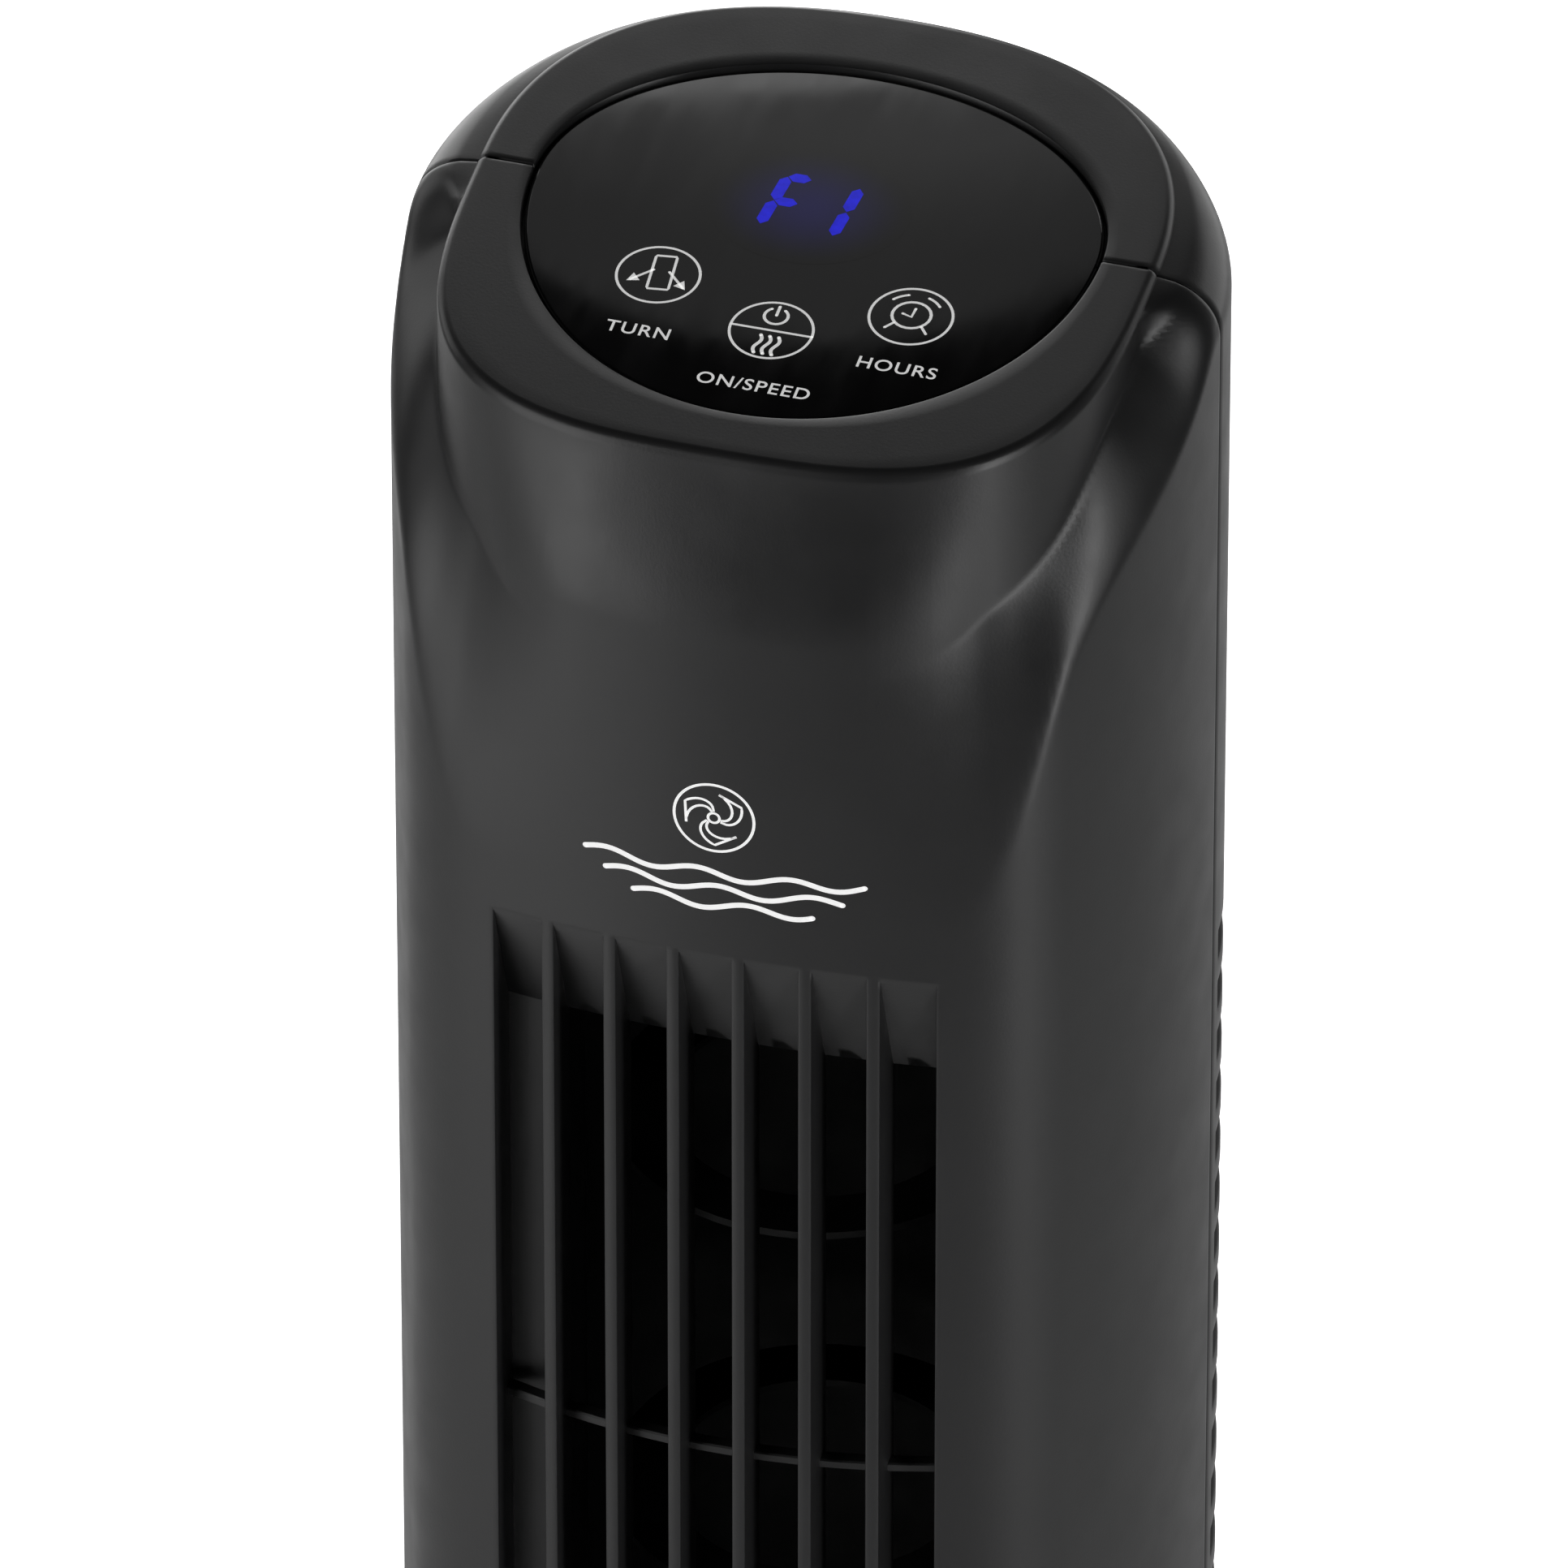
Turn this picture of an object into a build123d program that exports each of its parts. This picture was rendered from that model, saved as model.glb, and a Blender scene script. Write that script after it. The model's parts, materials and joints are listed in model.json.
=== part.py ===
"""Tower fan: a round base, a swinging tower with a cross-flow wheel, and a round touch panel on top.

Millimetres. +Z is up, the air leaves towards -Y, and the origin is on the floor under the swing axis.
"""

import os
from math import acos, atan2, cos, degrees, hypot, pi, radians, sin, sqrt, tan

from build123d import *

os.makedirs("parts", exist_ok=True)

# ---------------------------------------------------------------- driving dimensions
TOTAL_HEIGHT = 780.0
BASE_R = 125.0  # round base
FOOT_DROP = 4.0  # underside of the base above the floor
PLATEAU_Z = 40.0  # flat top of the base
PLATEAU_R = 96.0
TOWER_BOTTOM_Z = 43.3

HALF_WIDTH = 77.0  # tower, at the seam
SEAM_Y = 7.0  # plane where the front and rear shells meet
REAR_DEPTH = 62.0  # from the seam to the back
REAR_POWER = 2.05  # superellipse power of the back
CHEEK_R = 114.0  # side arcs of the front shell
FACE_R = 145.0  # front arc
FACE_Y = -68.0
CORNER_SOFTNESS = 7.0  # rounding between a cheek and the face

DECK_HALF_WIDTH = 65.0  # raised deck round the touch panel
DECK_FRONT_DEPTH = 69.0
DECK_REAR_DEPTH = 57.0
DECK_FRONT_POWER = 3.1
DECK_REAR_POWER = 2.4
DECK_TILT = 5.0  # degrees, falling towards the front
SCOOP_DEPTH = 110.0  # how far below the deck the section reaches its full size

WALL = 2.6
SEAM_GAP = 0.3

PANEL_HALF_WIDTH = 54.2  # panel opening: two half ellipses that meet over the seam
PANEL_FRONT_DEPTH = 57.0
PANEL_REAR_DEPTH = 40.5
PANEL_GAP = 0.6

GRILLE_TOP_Z = 659.0
GRILLE_BOTTOM_Z = 192.0
BAR_COUNT = 8
BAR_PITCH = 12.5
BAR_THICKNESS = 2.6
BAR_DEPTH = 10.0
RAMP_HEIGHT = 27.0
TIE_SPACING = 111.0
TIE_HEIGHT = 2.0

VENT_PITCH = 12.0
VENT_HEIGHT = 7.0
VENT_TOP_Z = 621.0
VENT_COUNT = 35

WHEEL_Y = 10.0  # axis of the cross-flow wheel
WHEEL_R = 40.0
WHEEL_BOTTOM_Z = 200.0
WHEEL_TOP_Z = 656.0
BLADE_COUNT = 30
BLADE_T = 1.4
BLADE_INNER_R = 31.0
DISC_COUNT = 6
DISC_T = 1.6
SHAFT_R = 3.0
RUNNING_GAP = 0.05

LOWER_PLATE_Z = 184.0
UPPER_PLATE_Z = 664.0
PLATE_T = 3.0

POST_R = 18.0
GEAR_MODULE = 1.25
FIXED_TEETH = 54
PINION_TEETH = 18
GEAR_Z = 62.0
GEAR_H = 7.0
BACKLASH = 0.25

DECK_Z = TOTAL_HEIGHT - (SEAM_Y + DECK_REAR_DEPTH) * tan(radians(DECK_TILT))  # deck height over the swing axis
GEAR_CENTRES = GEAR_MODULE * (FIXED_TEETH + PINION_TEETH) / 2


# ---------------------------------------------------------------- tower outline, polar about (0, SEAM_Y)
def soft_min(a, b, softness):
    """The smaller of a and b, with the corner between them rounded."""
    blend = max(softness - abs(a - b), 0) / softness
    return min(a, b) - blend * blend * softness / 4


def arc_distance(c, s, centre_x, centre_y, radius):
    """How far a ray from the pole runs in direction (c, s) before it leaves the circle."""
    along = c * centre_x + s * centre_y
    return along + sqrt(along**2 - centre_x**2 - centre_y**2 + radius**2)


def body_radius(angle):
    """Full section of the tower."""
    c, s = abs(cos(angle)), sin(angle)
    if s >= 0:
        return ((c / HALF_WIDTH) ** REAR_POWER + (s / REAR_DEPTH) ** REAR_POWER) ** (-1 / REAR_POWER)
    cheek = arc_distance(c, s, HALF_WIDTH - CHEEK_R, 0, CHEEK_R)
    face = arc_distance(c, s, 0, FACE_Y + FACE_R - SEAM_Y, FACE_R)
    return soft_min(cheek, face, CORNER_SOFTNESS)


def deck_radius(angle):
    """Section of the raised deck."""
    c, s = abs(cos(angle)), sin(angle)
    depth, power = (DECK_REAR_DEPTH, DECK_REAR_POWER) if s >= 0 else (DECK_FRONT_DEPTH, DECK_FRONT_POWER)
    return ((c / DECK_HALF_WIDTH) ** power + (abs(s) / depth) ** power) ** (-1 / power)


def smooth_step(x):
    x = min(max(x, 0), 1)
    return x * x * (3 - 2 * x)


def between(x, stops):
    """Straight lines through (place, value) stops."""
    for (x0, y0), (x1, y1) in zip(stops, stops[1:]):
        if x <= x1:
            return y0 + (y1 - y0) * (x - x0) / (x1 - x0)
    return stops[-1][1]


def growth(angle, depth):
    """Share of the way from the deck's section to the full one, at a depth below the deck."""
    turn = degrees(atan2(-sin(angle), abs(cos(angle))))  # 0 at the seam, 90 at the front, negative behind
    shoulder = min(max((depth - 1.5) / 11, 0), 1)
    rounded = sqrt(1 - (1 - shoulder) ** 2)
    if turn <= 0:
        return rounded
    top = between(turn, [(0, 1), (15, 9), (28, 14), (37, 26), (46, 33), (60, 46)])
    bottom = between(turn, [(0, 9), (13, 22), (28, 33), (35, 40), (40, 48), (45, 65), (50, 105)])
    run = min(max((depth - top) / (bottom - top), 0), 1)
    scoop = 1 - (1 - run) ** 1.5
    ramp = smooth_step((depth + 3) / 42)
    side = rounded + (scoop - rounded) * smooth_step(turn / 12)
    return side + (ramp - side) * smooth_step((turn - 50) / 22)


def outline(depth, inset=0.0, count=60):
    """Points of the tower's section at a depth below the deck, starting on the seam."""
    points = []
    for k in range(count):
        angle = 2 * pi * k / count
        deck = deck_radius(angle)
        radius = deck + (body_radius(angle) - deck) * growth(angle, depth) - inset
        points.append((radius * cos(angle), SEAM_Y + radius * sin(angle)))
    return points


def tilt_at(depth):
    """The sections lie in planes that turn level as they go down."""
    return DECK_TILT * (1 - smooth_step(depth / SCOOP_DEPTH))


def section(depth, inset=0.0, drop=0.0):
    """The section at that depth as a sketch, moved down by drop."""
    angle = radians(tilt_at(depth))
    plane = Plane(origin=(0, 0, DECK_Z - depth - drop), x_dir=(1, 0, 0), z_dir=(0, -sin(angle), cos(angle)))
    with BuildSketch(plane) as sketch:
        with BuildLine():
            Spline(*[(x, y / cos(angle)) for x, y in outline(depth, inset)], periodic=True)
        make_face()
    return sketch.sketch


def level_section(z, inset=0.0):
    """The tower's full section at height z, as a sketch."""
    with BuildSketch(Plane.XY.offset(z)) as sketch:
        with BuildLine():
            Spline(*outline(SCOOP_DEPTH, inset), periodic=True)
        make_face()
    return sketch.sketch


HEAD_DEPTHS = [0, 1.5, 2.5, 4, 6, 8.5, 11, 14, 18, 24, 31, 39, 48, 58, 70, 88, SCOOP_DEPTH]
HEAD_Z = DECK_Z - SCOOP_DEPTH


def ring_wall(bottom, top, outer_inset, inner_inset):
    """The strip between two insets of the full section, as a part."""
    with BuildPart() as strip:
        extrude(level_section(bottom, outer_inset), top - bottom)
        extrude(level_section(bottom, inner_inset), top - bottom, mode=Mode.SUBTRACT)
    return strip.part


def wall_strip(points, thickness, bottom, top):
    """A bent sheet standing between two heights, following a smooth line."""
    with BuildPart() as strip:
        with BuildSketch(Plane.XY.offset(bottom)):
            with BuildLine() as middle:
                Spline(*points)
            trace(line_width=thickness)
        extrude(amount=top - bottom)
    return strip.part


def panel_outline(grow):
    """The panel opening as a flat sketch, widened by grow."""
    with BuildSketch() as sketch:
        with BuildLine():
            for depth, start in [(PANEL_REAR_DEPTH, 0), (PANEL_FRONT_DEPTH, 180)]:
                EllipticalCenterArc((0, SEAM_Y), PANEL_HALF_WIDTH + grow, depth + grow, start_angle=start, arc_size=180)
        make_face()
    return sketch.sketch


def gear_outline(teeth, backlash, turn):
    """Involute tooth outline, as points."""
    pitch = GEAR_MODULE * teeth / 2
    base = pitch * cos(radians(20))
    tip = pitch + 0.9 * GEAR_MODULE
    root = pitch - 1.15 * GEAR_MODULE
    half = pi / (2 * teeth) - backlash / (2 * pitch)
    inv_pitch = tan(radians(20)) - radians(20)
    flank = [(root, half + inv_pitch)]
    for k in range(5):
        r = max(base, root) + (tip - max(base, root)) * k / 4
        a = acos(min(base / r, 1))
        flank.append((r, half + inv_pitch - (tan(a) - a)))
    points = []
    for k in range(teeth):
        middle = 2 * pi * k / teeth + turn
        points += [(r * cos(middle - a), r * sin(middle - a)) for r, a in flank]
        points += [(r * cos(middle + a), r * sin(middle + a)) for r, a in reversed(flank)]
    return points


UP = (Align.CENTER, Align.CENTER, Align.MIN)
TOWARDS_REAR = (-90, 0, 0)  # turns a part that stands on +Z so that it points to +Y
SEAM_SCREWS = [(-66, 110), (66, 110), (-66, 700), (66, 700)]  # x and z
FLOOR_SCREWS = [(-55, -45), (55, -45), (-49, 46), (49, 46)]
TRAY_SCREWS = [(-46, -42), (46, -42), (-41, 44), (41, 44)]
BOARD_SCREWS = [(-34, -20), (34, -20), (-34, 26), (34, 26)]
TOUCH_SPOTS = [(-23.7, -16.0), (0.6, -25.7), (24.3, -15.7)]
deck_plane = Plane(
    origin=(0, 0, DECK_Z), x_dir=(1, 0, 0), z_dir=(0, -sin(radians(DECK_TILT)), cos(radians(DECK_TILT)))
)

# ---------------------------------------------------------------- tower skin, before it is parted
NECK_Z = HEAD_Z - 10  # the head is joined to the straight tower here

with BuildPart() as tower_outside:
    loft([section(d) for d in HEAD_DEPTHS], ruled=True)
    extrude(level_section(TOWER_BOTTOM_Z), HEAD_Z - TOWER_BOTTOM_Z)

with BuildPart() as head_skin:
    loft([section(d) for d in HEAD_DEPTHS], ruled=True)
    extrude(level_section(NECK_Z), HEAD_Z - NECK_Z)
    loft([section(d, WALL, WALL) for d in HEAD_DEPTHS], ruled=True, mode=Mode.SUBTRACT)
    extrude(level_section(NECK_Z, WALL), HEAD_Z - WALL - NECK_Z, mode=Mode.SUBTRACT)
    with BuildSketch(deck_plane.offset(-8)):
        add(panel_outline(0))
    extrude(amount=12, mode=Mode.SUBTRACT)

# ---------------------------------------------------------------- front shell with the outlet grille
BAR_PLACES = [(k - (BAR_COUNT - 1) / 2) * BAR_PITCH for k in range(BAR_COUNT)]
WINDOW_HALF = BAR_PLACES[-1] + BAR_THICKNESS / 2
WINDOW_HEIGHT = GRILLE_TOP_Z - GRILLE_BOTTOM_Z
MIDDLE_Z = (GRILLE_TOP_Z + GRILLE_BOTTOM_Z) / 2

RAMP_T = 4.2  # upright thickness of a ramp
RAMP_START = 0.8  # the ramp starts this far behind the face
RAMP_SLOPE = (BAR_DEPTH - RAMP_START) / RAMP_HEIGHT

with BuildPart() as ramps:
    for edge_z, inward in [(GRILLE_TOP_Z, -1), (GRILLE_BOTTOM_Z, 1)]:
        deep = edge_z + inward * RAMP_HEIGHT
        back = BAR_DEPTH + (RAMP_T + 1) * RAMP_SLOPE
        loft([level_section(edge_z, RAMP_START), level_section(deep, BAR_DEPTH)], ruled=True)
        loft(
            [level_section(edge_z - inward * RAMP_T, RAMP_START), level_section(deep + inward, back)],
            ruled=True,
            mode=Mode.SUBTRACT,
        )
    with Locations((0, -60, MIDDLE_Z)):
        Box(2 * WINDOW_HALF, 40, WINDOW_HEIGHT, mode=Mode.INTERSECT)

with BuildPart() as grille:
    add(ring_wall(GRILLE_BOTTOM_Z - 0.5, GRILLE_TOP_Z + 0.5, 0, BAR_DEPTH))
    with Locations(*[(x, -60, MIDDLE_Z) for x in BAR_PLACES]):
        Box(BAR_THICKNESS, 40, WINDOW_HEIGHT + 1, mode=Mode.INTERSECT)

with BuildPart() as ties:
    add(ring_wall(GRILLE_BOTTOM_Z + 1, GRILLE_TOP_Z - 1, 6.0, 8.6))
    with Locations(*[(0, -60, MIDDLE_Z + k * TIE_SPACING) for k in (-1, 0, 1)]):
        Box(2 * WINDOW_HALF, 40, TIE_HEIGHT, mode=Mode.INTERSECT)

# the leftmost gap is closed by a flat sheet behind the bars, carried by a rib on the second bar
BLIND_Y = -52.0
BLIND_HEIGHT = WINDOW_HEIGHT - 2 * RAMP_HEIGHT - 1.2

with BuildPart() as blind_cell:
    with Locations(((BAR_PLACES[0] + BAR_PLACES[1]) / 2, BLIND_Y + 1, MIDDLE_Z)):
        Box(BAR_PITCH + 1.6, 2, BLIND_HEIGHT)
    with Locations((BAR_PLACES[1], BLIND_Y - 1.6, MIDDLE_Z)):
        Box(BAR_THICKNESS - 0.4, 6.8, BLIND_HEIGHT)

with BuildPart() as front_shell:
    add(head_skin.part)
    add(ring_wall(TOWER_BOTTOM_Z, NECK_Z, 0, WALL))
    split(bisect_by=Plane(origin=(0, SEAM_Y - SEAM_GAP / 2, 0), z_dir=(0, -1, 0)), keep=Keep.TOP)
    with Locations((0, -60, MIDDLE_Z)):
        Box(2 * WINDOW_HALF - 0.2, 40, WINDOW_HEIGHT, mode=Mode.SUBTRACT)
    add([grille.part, ramps.part, ties.part, blind_cell.part])
    # bosses on the seam, pads on the floor and lugs under the deck
    for x, z in SEAM_SCREWS:
        with Locations((x, -8, z)):
            Cylinder(9, SEAM_Y - SEAM_GAP / 2 + 8, rotation=TOWARDS_REAR, align=UP)
            Cylinder(1.6, 40, rotation=TOWARDS_REAR, mode=Mode.SUBTRACT)
    for x, y in FLOOR_SCREWS[:2]:
        with Locations((x, y, TOWER_BOTTOM_Z + 4.2)):
            Cylinder(7.4, 13, align=UP)
            Cylinder(1.6, 13, align=UP, mode=Mode.SUBTRACT)
    for x in (-26, 26):
        with Locations((x, -58.2, 115)):
            Box(4, 12, 62)
    with BuildSketch(deck_plane.offset(-5)):
        with Locations(*TRAY_SCREWS[:2]):
            Circle(3.6)
    extrude(amount=3.4)
    with BuildSketch(deck_plane.offset(-5)):
        with Locations(*TRAY_SCREWS[:2]):
            Circle(1.3)
    extrude(amount=3.4, mode=Mode.SUBTRACT)

# ---------------------------------------------------------------- rear shell with the inlet louvres
VENT_BOTTOM = VENT_TOP_Z - (VENT_COUNT - 1) * VENT_PITCH - VENT_HEIGHT
VENT_FRONT_Y = 12.0  # the louvres run round the back from here

with BuildPart() as vent_sides:
    add(ring_wall(VENT_BOTTOM, VENT_TOP_Z, 0, WALL))
    with Locations((0, VENT_FRONT_Y + 50, (VENT_BOTTOM + VENT_TOP_Z) / 2)):
        Box(200, 100, VENT_TOP_Z - VENT_BOTTOM, mode=Mode.SUBTRACT)

with BuildPart() as rear_slat:
    add(ring_wall(VENT_BOTTOM + VENT_HEIGHT, VENT_BOTTOM + VENT_PITCH, 0, WALL))
    with Locations((0, VENT_FRONT_Y + 50, VENT_BOTTOM + VENT_PITCH)):
        Box(200, 100, 2 * VENT_PITCH, mode=Mode.INTERSECT)

with BuildPart() as rear_ribs:
    add(ring_wall(VENT_BOTTOM - 4, VENT_TOP_Z + 4, WALL, 6.0))
    with Locations(*[(x, 60, (VENT_BOTTOM + VENT_TOP_Z) / 2) for x in (-40, 0, 40)]):
        Box(3, 60, VENT_TOP_Z - VENT_BOTTOM + 8, mode=Mode.INTERSECT)

with BuildPart() as rear_tubes:
    add(tower_outside.part)
    with Locations(*[(x, 40, z) for x, z in SEAM_SCREWS]):
        Cylinder(5, 60, rotation=TOWARDS_REAR, mode=Mode.INTERSECT)

with BuildPart() as rear_shell:
    add(head_skin.part)
    add(ring_wall(TOWER_BOTTOM_Z, VENT_BOTTOM, 0, WALL))
    add(ring_wall(VENT_TOP_Z, NECK_Z, 0, WALL))
    add(vent_sides.part)
    split(bisect_by=Plane(origin=(0, SEAM_Y + SEAM_GAP / 2, 0), z_dir=(0, 1, 0)), keep=Keep.TOP)
    add([rear_slat.part.moved(Location((0, 0, k * VENT_PITCH))) for k in range(VENT_COUNT - 1)])
    add([rear_ribs.part, rear_tubes.part])
    for x, z in SEAM_SCREWS:
        with Locations((x, SEAM_Y + SEAM_GAP / 2, z)):
            Cylinder(8.2, 14, rotation=TOWARDS_REAR, align=UP)
        with Locations((x, 0, z)):
            Cylinder(1.7, 60, rotation=TOWARDS_REAR, align=UP, mode=Mode.SUBTRACT)
        with Locations((x, 21, z)):
            Cylinder(3.4, 60, rotation=TOWARDS_REAR, align=UP, mode=Mode.SUBTRACT)
    for x, y in FLOOR_SCREWS[2:]:
        with Locations((x, y, TOWER_BOTTOM_Z + 4.2)):
            Cylinder(7.4, 13, align=UP)
            Cylinder(1.6, 13, align=UP, mode=Mode.SUBTRACT)
    with BuildSketch(deck_plane.offset(-5)):
        with Locations(*TRAY_SCREWS[2:]):
            Circle(3.6)
    extrude(amount=3.4)
    with BuildSketch(deck_plane.offset(-5)):
        with Locations(*TRAY_SCREWS[2:]):
            Circle(1.3)
    extrude(amount=3.4, mode=Mode.SUBTRACT)

with BuildPart() as inlet_screen:
    add(ring_wall(VENT_BOTTOM - 3, VENT_TOP_Z + 3, 6.1, 6.9))
    with Locations((0, VENT_FRONT_Y + 54, (VENT_BOTTOM + VENT_TOP_Z) / 2)):
        Box(200, 100, 500, mode=Mode.INTERSECT)

with BuildPart() as shell_screws:
    for x, z in SEAM_SCREWS:
        with Locations((x, 21, z)):
            Cylinder(3, 2.4, rotation=TOWARDS_REAR, align=UP)
        with Locations((x, -6, z)):
            Cylinder(1.5, 27, rotation=TOWARDS_REAR, align=UP)

# ---------------------------------------------------------------- touch panel
with BuildPart() as control_tray:
    with BuildSketch(deck_plane.offset(-7)):
        add(panel_outline(3.5))
    extrude(amount=4.35)
    with BuildSketch(deck_plane.offset(-4.2)):
        add(panel_outline(0))
    extrude(amount=4, mode=Mode.SUBTRACT)
    with BuildSketch(deck_plane.offset(-7)):
        for x, y in TRAY_SCREWS:
            with Locations(Location((x * 0.87, y * 0.87), degrees(atan2(y, x)))):
                Rectangle(22, 9)
    extrude(amount=1.9)
    with BuildSketch(deck_plane.offset(-12.4)):
        with Locations(*BOARD_SCREWS):
            Circle(3)
    extrude(amount=6)
    with BuildSketch(deck_plane.offset(-13)):
        with Locations(*BOARD_SCREWS):
            Circle(1.3)
    extrude(amount=7, mode=Mode.SUBTRACT)
    with BuildSketch(deck_plane.offset(-8)):
        with Locations(*TRAY_SCREWS):
            Circle(1.6)
        with Locations(*TOUCH_SPOTS):
            Circle(5.5)
        with Locations((-0.5, 9.3)):
            Rectangle(31, 21)
    extrude(amount=8, mode=Mode.SUBTRACT)

with BuildPart() as tray_screws:
    with BuildSketch(deck_plane.offset(-9)):
        with Locations(*TRAY_SCREWS):
            Circle(2.8)
    extrude(amount=2)
    with BuildSketch(deck_plane.offset(-7.5)):
        with Locations(*TRAY_SCREWS):
            Circle(1.25)
    extrude(amount=5.2)

with BuildPart() as panel_lens:
    with BuildSketch(deck_plane.offset(-4.2)):
        add(panel_outline(-PANEL_GAP))
    extrude(amount=3.2)
    fillet(panel_lens.faces().sort_by(Axis.Z)[-1].edges(), 0.6)

with BuildPart() as display_board:
    with BuildSketch(deck_plane.offset(-14)):
        with Locations((0, 0)):
            RectangleRounded(78, 66, 4)
        with Locations(*BOARD_SCREWS):
            Circle(1.5, mode=Mode.SUBTRACT)
    extrude(amount=1.6)
    with BuildSketch(deck_plane.offset(-16)):
        with Locations((-22, 12), (10, 18), (20, -6)):
            Rectangle(9, 9)
        with Locations((-4, -14)):
            Rectangle(12, 16)
    extrude(amount=2)

with BuildPart() as digit_display:
    with BuildSketch(deck_plane.offset(-12.4)):
        with Locations((-0.5, 9.3)):
            Rectangle(30, 20)
    extrude(amount=8)

with BuildPart() as touch_springs:
    with BuildSketch(deck_plane.offset(-12.4)):
        with Locations(*TOUCH_SPOTS):
            Circle(4)
            Circle(3.2, mode=Mode.SUBTRACT)
    extrude(amount=8.1)

with BuildPart() as board_screws:
    with BuildSketch(deck_plane.offset(-16)):
        with Locations(*BOARD_SCREWS):
            Circle(2.6)
    extrude(amount=2)
    with BuildSketch(deck_plane.offset(-14.5)):
        with Locations(*BOARD_SCREWS):
            Circle(1.25)
    extrude(amount=8)

with BuildPart() as display_cable:
    with Locations((-68.6, -16, 440)):
        Box(1.4, 8, 590)

# ---------------------------------------------------------------- air duct
with BuildPart() as scroll_wall:
    right_side = [(45.6, -46), (47.5, -38), (50.5, -16), (50, 6), (46.5, 24), (38.5, 37)]
    add(wall_strip(right_side, 2.2, LOWER_PLATE_Z + PLATE_T, UPPER_PLATE_Z))

with BuildPart() as tongue_wall:
    left_side = [(-43.4, -46.4), (-41.6, -38), (-40, -29), (-38.4, -21), (-40.8, -15.5), (-47, -14), (-54, -14)]
    add(wall_strip(left_side, 2.2, LOWER_PLATE_Z + PLATE_T, UPPER_PLATE_Z))

with BuildPart() as upper_duct_plate:
    extrude(level_section(UPPER_PLATE_Z, WALL + 0.6), PLATE_T)
    with Locations((0, WHEEL_Y, UPPER_PLATE_Z)):
        Cylinder(15, 16, align=UP)
        Cylinder(12, 16, align=UP, mode=Mode.SUBTRACT)
    with Locations((-70, -16, UPPER_PLATE_Z)):
        Box(8, 13, 20, mode=Mode.SUBTRACT)

with BuildPart() as lower_duct_plate:
    extrude(level_section(LOWER_PLATE_Z, WALL + 0.6), PLATE_T)
    with Locations((0, WHEEL_Y, LOWER_PLATE_Z)):
        Cylinder(12, 20, mode=Mode.SUBTRACT)
        with PolarLocations(28, 3, start_angle=30):
            Cylinder(2.1, 20, mode=Mode.SUBTRACT)
    with Locations((-70, -16, LOWER_PLATE_Z)):
        Box(8, 13, 20, mode=Mode.SUBTRACT)

with BuildPart() as bearing_rubber:
    with Locations((0, WHEEL_Y, UPPER_PLATE_Z + PLATE_T - 1)):
        Cylinder(11.95, 12, align=UP)
        Cylinder(7.05, 12, align=UP, mode=Mode.SUBTRACT)

with BuildPart() as bearing_bush:
    with Locations((0, WHEEL_Y, UPPER_PLATE_Z + PLATE_T)):
        Cylinder(7, 12, align=UP)
        Cylinder(SHAFT_R + RUNNING_GAP, 12, align=UP, mode=Mode.SUBTRACT)

# ---------------------------------------------------------------- cross-flow wheel and its motor
with BuildPart() as impeller:
    with BuildSketch(Plane.XY.offset(WHEEL_BOTTOM_Z)):
        with Locations((0, WHEEL_Y)):
            with PolarLocations(0, BLADE_COUNT):
                with BuildLine():
                    rim, root, bow = WHEEL_R - 0.4, BLADE_INNER_R, 3.4
                    half = BLADE_T / 2
                    front = ThreePointArc((rim, half), ((rim + root) / 2, bow + half), (root, half))
                    back = ThreePointArc((root, -half), ((rim + root) / 2, bow - half), (rim, -half))
                    Line(front @ 1, back @ 0)
                    Line(back @ 1, front @ 0)
                make_face()
    extrude(amount=WHEEL_TOP_Z - WHEEL_BOTTOM_Z)
    step = (WHEEL_TOP_Z - WHEEL_BOTTOM_Z - DISC_T) / (DISC_COUNT - 1)
    with BuildSketch(*[Plane.XY.offset(WHEEL_BOTTOM_Z + k * step) for k in range(1, DISC_COUNT - 1)]):
        with Locations((0, WHEEL_Y)):
            Circle(WHEEL_R)
            Circle(BLADE_INNER_R - 2, mode=Mode.SUBTRACT)
    extrude(amount=DISC_T)
    with BuildSketch(*[Plane.XY.offset(z) for z in (WHEEL_BOTTOM_Z, WHEEL_TOP_Z - DISC_T)]):
        with Locations((0, WHEEL_Y)):
            Circle(WHEEL_R)
    extrude(amount=DISC_T)
    with Locations((0, WHEEL_Y, WHEEL_TOP_Z - 12)):
        Cylinder(8, 13, align=UP)
    with Locations((0, WHEEL_Y, WHEEL_BOTTOM_Z - 9)):
        Cylinder(9, 24, align=UP)
    with Locations((0, WHEEL_Y, WHEEL_BOTTOM_Z - 10)):
        Cylinder(SHAFT_R + 0.02, WHEEL_TOP_Z - WHEEL_BOTTOM_Z + 20, align=UP, mode=Mode.SUBTRACT)
    with Locations((0, WHEEL_Y, WHEEL_BOTTOM_Z - 4.5)):
        Cylinder(1.4, 10, rotation=TOWARDS_REAR, align=UP, mode=Mode.SUBTRACT)

with BuildPart() as impeller_pin:
    with Locations((0, WHEEL_Y, WHEEL_TOP_Z - 10)):
        Cylinder(SHAFT_R, 35, align=UP)
    chamfer(impeller_pin.edges().sort_by(Axis.Z)[-1], 0.6)

with BuildPart() as hub_set_screw:
    with Locations((0, WHEEL_Y + SHAFT_R + 0.1, WHEEL_BOTTOM_Z - 4.5)):
        Cylinder(1.35, 5.4, rotation=TOWARDS_REAR, align=UP)

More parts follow.
